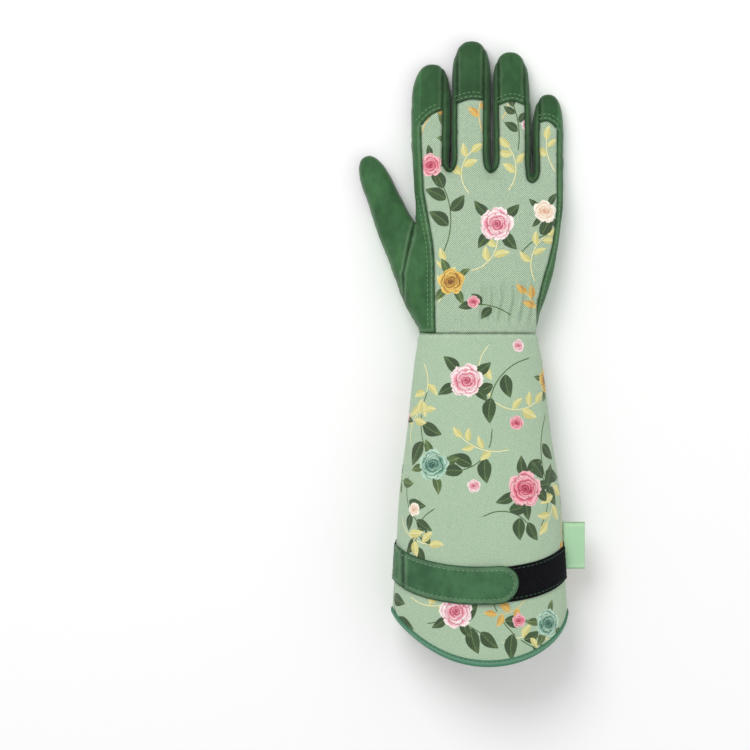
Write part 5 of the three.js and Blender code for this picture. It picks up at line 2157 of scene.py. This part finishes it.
@dataclass
class FlowerPrint:
    """A scattered print of sprays, sprigs and blossoms, laid out on flat cloth and stamped onto a mesh."""

    leaves: list[Leaf] = field(default_factory=list)
    blooms: list[Bloom] = field(default_factory=list)
    stems: list[Stem] = field(default_factory=list)

    def spray(
        self,
        x: float,
        y: float,
        way: float,
        count: int,
        size: float,
        bend: float,
        ink: Ink,
        seed: int,
        slim: float = 0.3,
    ) -> None:
        """Adds a curved stem with leaves on both sides and one at its end.

        Args:
            x: where the stem starts across the cloth.
            y: where it starts along the cloth.
            way: the way it sets off, in degrees.
            count: how many leaves it has.
            size: the length of its longest leaf.
            bend: how far it turns in all, in degrees.
            ink: the ink.
            seed: sets its small irregularities.
            slim: how slim the leaves are, from 0 to 1.
        """
        dice = np.random.default_rng(seed)
        step = size * 0.56
        points, heading = [np.array([x, y])], way
        for i in range(count + 1):
            points.append(points[-1] + step * pointing(heading))
            heading += bend / max(count, 1)
            if i in (0, count):
                continue
            side = 1 if i % 2 else -1
            full = 0.72 + 0.28 * math.sin(math.pi * (i + 0.7) / (count + 1))
            length = size * full * dice.uniform(0.85, 1.12)
            out = heading + side * dice.uniform(38, 58)
            middle = points[-1] + (length * 0.58) * pointing(out)
            leaf_slim = min(max(slim + dice.uniform(-0.2, 0.2), 0), 0.95)
            self.leaves.append(Leaf(*middle, out, length, ink, leaf_slim))
        end = points[-1] + size * 0.42 * pointing(heading)
        self.leaves.append(Leaf(*end, heading, size * 0.95, ink, slim))
        half = 0.42 if size > 9 else 0.3
        self.stems.append(Stem(evenly(rounded(points, 5), 1.0), half, ink))

    def posy(
        self, x: float, y: float, radius: float, ink: Ink, turn: float, leafy: Ink = Ink.DEEP_GREEN
    ) -> None:
        """Adds a blossom with leaves showing from under it."""
        dice = np.random.default_rng(int(abs(x * 7 + y * 13) + turn * 100))
        for k in range(4):
            way = turn * 360 + k * 88 + dice.uniform(-16, 16)
            length = radius * dice.uniform(0.95, 1.25)
            middle = np.array([x, y]) + (radius * 0.78 + length * 0.35) * pointing(way)
            self.leaves.append(Leaf(*middle, way, length, leafy, dice.uniform(0.1, 0.5)))
        self.blooms.append(Bloom(x, y, radius, ink, turn, dice.uniform(0.88, 1.0)))

    def stamp(self, piece: bpy.types.Object, cloth: np.ndarray) -> None:
        """Writes onto each corner of a mesh where it lies on the cloth and in the motifs that cover it.

        Args:
            piece: the piece whose first material is the printed canvas.
            cloth: the flat cloth's millimetres at each corner.
        """
        mesh = piece.data
        totals = read_all(mesh.polygons, "loop_total", kind=int)
        cloth = cloth[:, :2]
        face_of = np.repeat(np.arange(len(totals)), totals)
        middle = np.column_stack([np.bincount(face_of, cloth[:, k]) / totals for k in range(2)])
        reach = np.zeros(len(totals))
        np.maximum.at(reach, face_of, np.linalg.norm(cloth - middle[face_of], axis=1))
        none = np.tile([0.0, FAR, 0.0], (len(cloth), 1))
        layers = {name: none.copy() for name in ("leaf_a", "leaf_b", "bloom")}
        layers["stem"] = none[:, [1, 0, 2]]

        def lay(layer: str, faces: np.ndarray, values: Callable[[np.ndarray], np.ndarray]) -> None:
            """Puts one motif on top of these faces."""
            chosen = np.zeros(len(totals), bool)
            chosen[faces] = True
            corners = chosen[face_of]
            if layer == "leaf_a":
                layers["leaf_b"][corners] = layers["leaf_a"][corners]
            layers[layer][corners] = values(cloth[corners])

        for stem in self.stems:
            low, high = stem.line.min(0) - 2, stem.line.max(0) + 2
            near = np.flatnonzero(((middle > low) & (middle < high)).all(1))
            if len(near) == 0:
                continue
            away = line_distance(stem.line, middle[near])
            faces = near[away < reach[near] + stem.half]
            lay("stem", faces, lambda at, s=stem: self.stem_values(s, at))
        for leaf in self.leaves:
            half = leaf.length / 2
            near = np.flatnonzero(((middle - [leaf.x, leaf.y]) ** 2).sum(1) < (half + 1.5) ** 2)
            local = self.leaf_values(leaf, middle[near])
            room = reach[near] / half
            u, v = np.clip(local[:, 0], -1, 1), np.abs(local[:, 1])
            wide = (1 - u * u) ** 0.85 * (0.56 - 0.26 * leaf.seed) * (1 - 0.35 * u) + 0.06
            faces = near[(v < wide + room) & (np.abs(local[:, 0]) < 1 + room)]
            lay("leaf_a", faces, lambda at, m=leaf: self.leaf_values(m, at))
        for bloom in self.blooms:
            away = np.linalg.norm(middle - [bloom.x, bloom.y], axis=1)
            near = np.flatnonzero(away < bloom.radius * 1.1 + 1.2)
            lay("bloom", near, lambda at, m=bloom: self.bloom_values(m, at))
        layers["cloth"] = np.column_stack([cloth, np.zeros(len(cloth))])
        for name, values in layers.items():
            write_corners(piece, name, values)

    @staticmethod
    def leaf_values(leaf: Leaf, at: np.ndarray) -> np.ndarray:
        """Cloth points in a leaf's own lengths, with its ink's number."""
        u, v = turned(at - [leaf.x, leaf.y], leaf.way) / (leaf.length / 2)
        v = v + 0.12 * (u * u - 0.5) * (1 if leaf.seed > 0.3 else -1)
        return np.column_stack([u, v, np.full(len(at), leaf.ink.number + leaf.seed)])

    @staticmethod
    def bloom_values(bloom: Bloom, at: np.ndarray) -> np.ndarray:
        """Cloth points in a blossom's own radii, with its ink's number."""
        u, v = turned(at - [bloom.x, bloom.y], bloom.turn * 360) / bloom.radius
        return np.column_stack([u, v / bloom.squash, np.full(len(at), bloom.ink.number + bloom.turn * 0.9)])

    @staticmethod
    def stem_values(stem: Stem, at: np.ndarray) -> np.ndarray:
        """Cloth points as signed distances from a stem, with its half width and its ink's number."""
        best, signed = np.full(len(at), 1e9), np.full(len(at), FAR)
        for a, b in zip(stem.line[:-1], stem.line[1:]):
            ab = b - a
            t = np.clip(((at - a) @ ab) / max(ab @ ab, 1e-9), 0, 1)
            gap = at - a - t[:, None] * ab
            distance = np.linalg.norm(gap, axis=1)
            cross = ab[0] * gap[:, 1] - ab[1] * gap[:, 0]
            closer = distance < best
            best[closer] = distance[closer]
            signed[closer] = (np.sign(cross) * distance)[closer]
        return np.column_stack([signed, np.tile([stem.half, float(stem.ink.number)], (len(at), 1))])


# The studio


@dataclass(frozen=True)
class Studio:
    """The pale floor, the soft light and the camera straight above."""

    scale: float = 0.641
    image: int = 750
    distance: float = 3.0
    centre: tuple[float, float] = (-62.13, -15.09)
    lamps: tuple[tuple[str, tuple[float, float, float], float, float], ...] = (
        ("key_light", (-0.55, 0.85, 1.45), 1.1, 15.0),
        ("fill_light", (0.9, -0.5, 1.3), 1.8, 4.5),
    )
    room: float = 0.6

    def floor(self) -> None:
        """Adds the pale floor."""
        bpy.ops.object.select_all(action="DESELECT")
        bpy.ops.mesh.primitive_plane_add(size=6, location=(0, 0, -0.0002))
        floor = bpy.context.object
        floor.name = "studio_floor"
        painted(floor, PlainPaint("pale_floor", (0.97, 0.97, 0.97)).build({}))

    def lights(self) -> None:
        """Adds a broad light above, a softer one beside it and a bright room."""
        for name, place, size, power in self.lamps:
            data = bpy.data.lights.new(name, "AREA")
            data.shape, data.size, data.energy = "DISK", size, power
            lamp = bpy.data.objects.new(name, data)
            lamp.location = place
            lamp.rotation_euler = (-Vector(place)).to_track_quat("-Z", "Y").to_euler()
            bpy.context.scene.collection.objects.link(lamp)
        world = bpy.data.worlds.new("bright_room")
        world.use_nodes = True
        world.node_tree.nodes["Background"].inputs["Color"].default_value = (1, 1, 1, 1)
        world.node_tree.nodes["Background"].inputs["Strength"].default_value = self.room
        bpy.context.scene.world = world
        bpy.context.scene.view_settings.view_transform = "Standard"

    def camera(self) -> None:
        """Adds the camera, straight above the picture's middle."""
        data = bpy.data.cameras.new("camera")
        across = self.scale * self.image * MM
        data.lens = data.sensor_width * (self.distance - 0.02) / across
        camera = bpy.data.objects.new("camera", data)
        camera.location = (self.centre[0] * MM, self.centre[1] * MM, self.distance)
        bpy.context.scene.collection.objects.link(camera)
        bpy.context.scene.camera = camera

    def build(self) -> None:
        """Adds all of it."""
        self.floor()
        self.lights()
        self.camera()


# Putting the glove together


def surface_of(pieces: Sequence[bpy.types.Object]) -> BVHTree:
    """The surface of several pieces in the row frame, to lay stitches on."""
    points, faces = [], []
    for piece in pieces:
        base = len(points)
        points.extend(v.co[:] for v in piece.data.vertices)
        faces.extend([base + i for i in face.vertices] for face in piece.data.polygons)
    return BVHTree.FromPolygons(points, faces)


@dataclass
class Dresser:
    """Holds the finishes and dresses the glove's pieces with them."""

    effects: Effects = field(default_factory=lambda: {key: made.build() for key, made in EFFECTS.items()})
    made: dict[str, bpy.types.Material] = field(default_factory=dict)

    def finish(self, look: Finish) -> bpy.types.Material:
        """The material of a finish, built the first time it is asked for."""
        if look.name not in self.made:
            self.made[look.name] = look.build(self.effects)
        return self.made[look.name]


def hand_print() -> FlowerPrint:
    """The print on the back of the hand: sparse sprays and a few blossoms, running on up the fingers."""
    print_ = FlowerPrint()
    G, O, S, D = Ink.DEEP_GREEN, Ink.OLIVE, Ink.STRAW, Ink.GOLD
    # Each spray's x, y, way, count, size, bend, ink, seed and slimness
    for row in (
        (-25, 20, 62, 4, 9.9, 40, S, 11, 0.35),
        (20, 12, 150, 3, 10.9, 30, G, 12, 0.12),
        (36, 34, 108, 5, 9.9, -70, S, 13, 0.35),
        (-4, 40, 20, 4, 9.9, 60, S, 14, 0.35),
        (-22, 52, 70, 4, 15.4, 40, G, 15, 0.12),
        (28, 52, 45, 3, 14.1, -40, G, 16, 0.12),
        (-6, 90, 120, 4, 10.6, -70, S, 17, 0.35),
        (20, 92, 60, 4, 10.6, 60, S, 18, 0.35),
        (-14, 112, 96, 3, 10.2, 20, O, 19, 0.12),
        (4, 128, 110, 3, 9.9, -30, D, 20, 0.35),
        (26, 118, 84, 4, 10.2, 24, G, 21, 0.12),
        (16, 138, 60, 3, 9.9, 50, D, 22, 0.35),
        (50, 104, 120, 3, 9.9, -30, S, 23, 0.35),
        (-36, 128, 70, 3, 10.6, -30, D, 24, 0.35),
        (40, 6, 100, 3, 9.9, 30, D, 25, 0.35),
    ):
        print_.spray(*row)
    for row in (
        (12.0, 70.0, 11.5, Ink.PINK, 0.15),
        (-17.0, 33.0, 9.0, Ink.AMBER, 0.62, O),
        (43.0, 78.0, 8.0, Ink.CREAM, 0.4),
        (-30.0, 108.0, 8.0, Ink.CORAL, 0.8),
    ):
        print_.posy(*row)
    print_.blooms += [Bloom(-3.0, 20.0, 4.2, Ink.CORAL, 0.3), Bloom(32.0, 134.0, 4.0, Ink.PINK, 0.5)]
    return print_


def cuff_print() -> FlowerPrint:
    """The print on the cuff: blossoms and leafy sprays on the back, and a random scatter further round."""
    print_ = FlowerPrint()
    G, O, S, D = Ink.DEEP_GREEN, Ink.OLIVE, Ink.STRAW, Ink.GOLD
    dice = np.random.default_rng(7)
    for row in range(9):
        for column in range(12):
            x = -198 + column * 36 + (row % 2) * 18 + dice.uniform(-6, 6)
            y = -14 - row * 24 + dice.uniform(-5, 5)
            kind, way, seed = dice.integers(0, 5), dice.uniform(0, 360), int(dice.integers(1, 9999))
            if abs(x) < 66 + max(-y - 60, 0) * 0.16:
                continue
            if kind == 0:
                ink = (Ink.PINK, Ink.CORAL, Ink.TEAL, Ink.AMBER)[seed % 4]
                print_.posy(x, y, dice.uniform(8, 11), ink, way / 360)
            elif kind < 3:
                print_.spray(x, y, way, 5, 12.5, 50, G if kind == 1 else O, seed, 0.2)
            else:
                print_.spray(x, y, way, 6, 7.0, 60, S, seed, 0.5)
    # Each spray's x, y, way, count, size, bend, ink, seed and slimness
    for row in (
        (6, -8, 235, 3, 11.4, 50, S, 31, 0.35),
        (33, -16, 200, 3, 17.3, 50, G, 32, 0.12),
        (-36, -20, 290, 4, 10.6, -60, S, 33, 0.35),
        (-34, -38, 250, 3, 17.9, 40, G, 34, 0.12),
        (10, -44, 330, 4, 10.6, 60, S, 35, 0.35),
        (46, -52, 250, 4, 16.6, 40, G, 36, 0.12),
        (8, -62, 262, 3, 15.5, -60, G, 37, 0.12),
        (-48, -70, 95, 4, 9.5, -70, S, 38, 0.35),
        (18, -74, 190, 5, 9.5, -50, S, 39, 0.35),
        (-50, -92, 262, 3, 13.5, 50, G, 40, 0.12),
        (48, -84, 290, 5, 11.4, -50, S, 41, 0.35),
        (-30, -112, 215, 3, 13.0, 60, G, 42, 0.12),
        (2, -116, 20, 3, 14.0, -60, G, 43, 0.12),
        (40, -122, 62, 3, 14.5, 50, G, 44, 0.12),
        (62, -112, 262, 4, 11.4, 40, D, 45, 0.35),
        (-56, -118, 300, 4, 10.6, 50, S, 46, 0.35),
        (-46, -168, 330, 4, 11.4, 60, S, 47, 0.35),
        (6, -166, 290, 4, 16.0, 40, G, 48, 0.12),
        (30, -166, 235, 4, 9.0, -50, D, 49, 0.3),
        (-34, -184, 10, 3, 16.0, -40, G, 50, 0.12),
        (14, -196, 20, 5, 10.6, -40, S, 52, 0.35),
        (-62, -150, 250, 3, 15.4, 60, G, 54, 0.12),
    ):
        print_.spray(*row)
    for row in (
        (-8.0, -30.0, 11.5, Ink.PINK, 0.1),
        (-30.0, -84.0, 10.5, Ink.TEAL, 0.55, O),
        (29.0, -99.0, 12.0, Ink.CORAL, 0.3),
        (50.0, -30.0, 8.5, Ink.AMBER, 0.72, O),
        (-16.0, -176.0, 11.5, Ink.PINK, 0.85),
        (44.0, -184.0, 9.5, Ink.TEAL, 0.2, O),
        (-60.0, -54.0, 9.0, Ink.CORAL, 0.45),
    ):
        print_.posy(*row)
    print_.blooms += [
        Bloom(24.0, -57.0, 4.8, Ink.CORAL, 0.2),
        Bloom(-4.0, -97.0, 4.4, Ink.PINK, 0.6),
        Bloom(-44.0, -112.0, 4.6, Ink.CREAM, 0.9),
        Bloom(26.0, -8.0, 4.2, Ink.PINK, 0.4),
        Bloom(24.0, -182.0, 4.6, Ink.CORAL, 0.7),
    ]
    return print_


BACK_CANVAS = PrintedCanvas("back_canvas", 0.72, 0.62, 0.95)
CUFF_CANVAS = PrintedCanvas("cuff_canvas", 0.66, 0.56, 0.85, srgb(160, 192, 160), srgb(122, 166, 142))
# worn sets the painted highlight beside the seams, deep the painted shade in them.
BACK_LEATHER = Suede("back_leather", srgb(42, 84, 46), srgb(62, 110, 64), speck=0.2, ridge_highlight=0.25)
TIP_LEATHER = Suede("tip_leather", srgb(34, 72, 38), srgb(49, 93, 51), speck=0.2, ridge_highlight=0.12)
STRAP_LEATHER = Suede("strap_leather", srgb(45, 86, 54), srgb(65, 111, 72), 1.1, 0.3, ridge_highlight=0.25)
PALM_LEATHER = Suede(
    "palm_leather", srgb(72, 136, 78), srgb(102, 168, 106), 1.6, 0.5, sheen=0.25, deep=0.5, clouds=(0.0, 1.0)
)
PAD_LEATHER = replace(
    PALM_LEATHER, name="pad_leather", dark=srgb(76, 141, 82), light=srgb(106, 172, 110), deep=0.4
)
TOUCH_LEATHER = TouchLeather("touch_leather", srgb(20, 20, 30), srgb(34, 35, 49))
HEM_TAPE = RibbedTape("hem_tape", srgb(40, 98, 72), srgb(78, 146, 112))
LABEL_TAPE = RibbedTape("label_satin", srgb(156, 206, 160), srgb(184, 224, 182), 0.35, (0.4, 0.55))
LINING = RibbedTape("lining", srgb(178, 180, 160), srgb(214, 214, 196), 0.7, (0.8, 0.95))
LOOP_PILE = LoopPile("loop_pile", srgb(6, 6, 9), srgb(30, 31, 37))
LIGHT_THREAD = Thread("light_thread", srgb(92, 136, 96), srgb(140, 178, 136))
PALM_THREAD = Thread("palm_thread", srgb(128, 184, 128), srgb(180, 216, 172))
DARK_THREAD = Thread("dark_thread", srgb(30, 66, 44), srgb(60, 110, 76))


@dataclass(frozen=True)
class Panel:
    """A sewn piece of the hand: the panels it is cut from, its slot, its CAD node and its looks."""

    name: str
    cut_from: tuple[str, ...]
    slot: str
    node: str
    looks: tuple[Finish, ...]


def hand_panels() -> list[Panel]:
    """The hand's sewn pieces, from the back to the palm."""
    names = ("index", "middle", "ring", "little")
    back, palm = "back_leather", "palm_leather"
    both = (PALM_LEATHER, BACK_LEATHER)
    made = [Panel("hand_back_canvas", ("fabric",), "printed_canvas", "back_fabric", (BACK_CANVAS,))]
    made += [Panel(f"{n}_tip_cap", (f"{n}_cap",), back, f"{n}_cap", (TIP_LEATHER,)) for n in names]
    for pair in zip(names, names[1:]):
        n = "_".join(pair)
        made.append(Panel(f"{n}_side", (f"{n}_fork",), back, f"{n}_fourchette", (TIP_LEATHER,)))
    for n in ("index", "middle", "thumb"):
        tip = f"{n}_touch_tip"
        made.append(Panel(f"{n}_touch_pad", (f"{n}_touch",), "touch_leather", tip, (TOUCH_LEATHER,)))
    made.append(Panel("thumb_gusset", ("gusset",), palm, "thumb_web_gusset", (PALM_LEATHER,)))
    made.append(Panel("palm_suede", ("palm", "back"), palm, "palm_leather", both))
    made.append(Panel("thumb_suede", ("thumb_palm", "thumb_back"), palm, "thumb_leather", both))
    return made


def dress_hand(hand: Hand, dresser: Dresser) -> BVHTree:
    """Makes the hand's panels with their walls and finishes.

    Args:
        hand: the hand, already cut into panels.
        dresser: makes the finishes.

    Returns:
        The outside of the whole hand.
    """
    pieces, hidden = [], hand.hidden_edges()
    for panel in hand_panels():
        parts = [hand.panels[name] for name in panel.cut_from]
        skin = Skin.merged(*parts) if len(parts) > 1 else parts[0]
        piece = painted(skin.piece(panel.name), *(dresser.finish(look) for look in panel.looks))
        distance = None
        if len(parts) > 1:
            numbers = (np.arange(len(skin.faces)) >= len(parts[0].faces)).astype(np.int32)
            piece.data.polygons.foreach_set("material_index", numbers)
            # The side seam between palm and back gets the painted seam shade and highlight.
            distance = np.abs(skin.points[:, 2] - hand.side_seam(skin.points[:, 1]))
        if BACK_CANVAS in panel.looks:
            hand_print().stamp(piece, skin.points[corner_points(piece)])
        seamed(piece, distance, hidden)
        pieces.append(piece)
    surface = surface_of(pieces)
    for piece, panel in zip(pieces, hand_panels()):
        finished(soft_shaded(walled(piece, hand.wall)), panel.node)
    return surface


@dataclass
class Seamster:
    """Lays every visible row of stitches, in three thread colours."""

    hand: Hand
    surface: BVHTree
    back: Stitching = field(default_factory=lambda: Stitching("back_stitches", thickness=0.42))
    palm: Stitching = field(default_factory=lambda: Stitching("palm_stitches"))
    trim: Stitching = field(default_factory=lambda: Stitching("trim_stitches", thickness=0.42))
    side_rows: tuple[float, float] = (1.9, 4.4)
    tip_rows: tuple[float, float] = (2.2, 4.8)
    palm_rows: tuple[float, float] = (1.9, 4.3)
    pad_rows: tuple[float, float] = (2.4, 4.6)
    plain_tips: tuple[tuple[int, float], ...] = ((2, 50.0), (3, 36.0))

    def sew_back(self) -> None:
        """Sews the caps and the printed fabric's two edges."""
        hand = self.hand
        for finger in hand.fingers:
            for away in self.tip_rows:
                self.back.press(beside(finger.cap_seam(), away), self.surface, Half.BACK)
        edge = hand.fabric_thumb_edge()
        for away in self.side_rows:
            self.back.press(beside(edge[edge[:, 1] > 2], away), self.surface, Half.BACK)
        edge = hand.fabric_little_edge()
        self.back.press(beside(edge[edge[:, 1] > 3], self.side_rows[0]), self.surface, Half.BACK)

    def across(self, digit: Digit, along: float) -> None:
        """Sews a row across the palm side of a digit."""
        wide = np.linspace(-0.46, 0.46, 16) * digit.width
        self.palm.press(digit.at(wide, np.full(16, along)), self.surface, Half.PALM)

    def sew_palm(self) -> None:
        """Sews the thumb's seam, the rows at the fingertips and the gusset."""
        hand = self.hand
        for away in self.palm_rows:
            self.palm.press(beside(hand.thumb_palm_seam(), -away), self.surface, Half.PALM)
            for digit in hand.touching():
                self.across(digit, digit.length - digit.touch + away)
            for finger, reach in self.plain_tips:
                self.across(hand.fingers[finger], reach + away)
        self.palm.press(beside(hand.gusset_seam(), -1.4), self.surface, Half.PALM)

    def sew_pad(self, pad: PalmPad, surface: BVHTree) -> None:
        """Sews the pad's edge and its channels."""
        outline = self.hand.pad_outline()
        ring = np.vstack([outline, outline[:1]])
        turn = 1.0 if inside(outline, beside(ring, 1.0)[5:6])[0] > 0 else -1.0
        for away in self.pad_rows:
            self.palm.press(beside(ring, turn * away), surface, Half.PALM)
        for channel in pad.channels:
            self.palm.press(rounded(channel, 8), surface, Half.PALM)

    def sew_cuff(self, cuff: Cuff, strap: Band, loop: Band) -> None:
        """Sews the strap, the hem's tape and the loop strip."""
        self.back.follow(strap.stitch_line(3.0))
        u = np.linspace(0, 1, 400)
        self.trim.follow(cuff.at(u, cuff.edge(u, 2.9), 0.95))
        self.trim.follow(loop.stitch_line(2.0))

    def build(self, dresser: Dresser) -> None:
        """Makes the three pieces of stitches."""
        for rows, slot, look in (
            (self.back, "back_leather", LIGHT_THREAD),
            (self.palm, "palm_leather", PALM_THREAD),
            (self.trim, "binding_tape", DARK_THREAD),
        ):
            piece = painted(rows.build(), dresser.finish(look))
            piece.data.polygons.foreach_set("use_smooth", [True] * len(piece.data.polygons))
            finished(piece)


def dress_cuff(cuff: Cuff, dresser: Dresser) -> None:
    """Makes the cuff with its lining, its hem tape and its label."""
    cloth = facing_out(cuff.build(cuff_print()), cuff.middle_line)
    painted(cloth, dresser.finish(CUFF_CANVAS), dresser.finish(LINING))
    finished(soft_shaded(walled(cloth, cuff.wall, 1)), "cuff")
    tape = painted(Binding(cuff).build(), dresser.finish(HEM_TAPE))
    finished(soft_shaded(tape, 60), "hem_binding")
    label = painted(SideLabel().build(), dresser.finish(LABEL_TAPE))
    finished(soft_shaded(label, 60), "side_label")


def main() -> None:
    """Builds the glove piece by piece."""
    Studio().build()
    dresser = Dresser()
    hand = Hand()
    hand.skin = hand.join_tubes()
    hand.cut_panels()
    seamster = Seamster(hand, dress_hand(hand, dresser))
    seamster.sew_back()
    seamster.sew_palm()

    cuff = Cuff()
    dress_cuff(cuff, dresser)
    strap = Band("wrist_strap", cuff, -53.6, 24.5, round_end=12.0, fold=5.5, climb=(-11.5, 0.5))
    loop = Band("loop_tape", cuff, 2.0, 56.4, width=22.5, thickness=1.1, steps=(110, 30))
    pile = dresser.finish(LOOP_PILE)
    strap_piece = strap.build(dresser.finish(STRAP_LEATHER), pile)
    finished(soft_shaded(strap_piece, 60), "closure_strap")
    finished(soft_shaded(loop.build(pile), 60), "loop_strip")
    seamster.sew_cuff(cuff, strap, loop)

    pad = PalmPad(hand)
    pad_piece = painted(soft_shaded(pad.build(seamster.surface), 60), dresser.finish(PAD_LEATHER))
    seamster.sew_pad(pad, surface_of([pad_piece]))
    finished(pad_piece, "palm_pad")
    seamster.build(dresser)


if __name__ == "__main__":
    main()
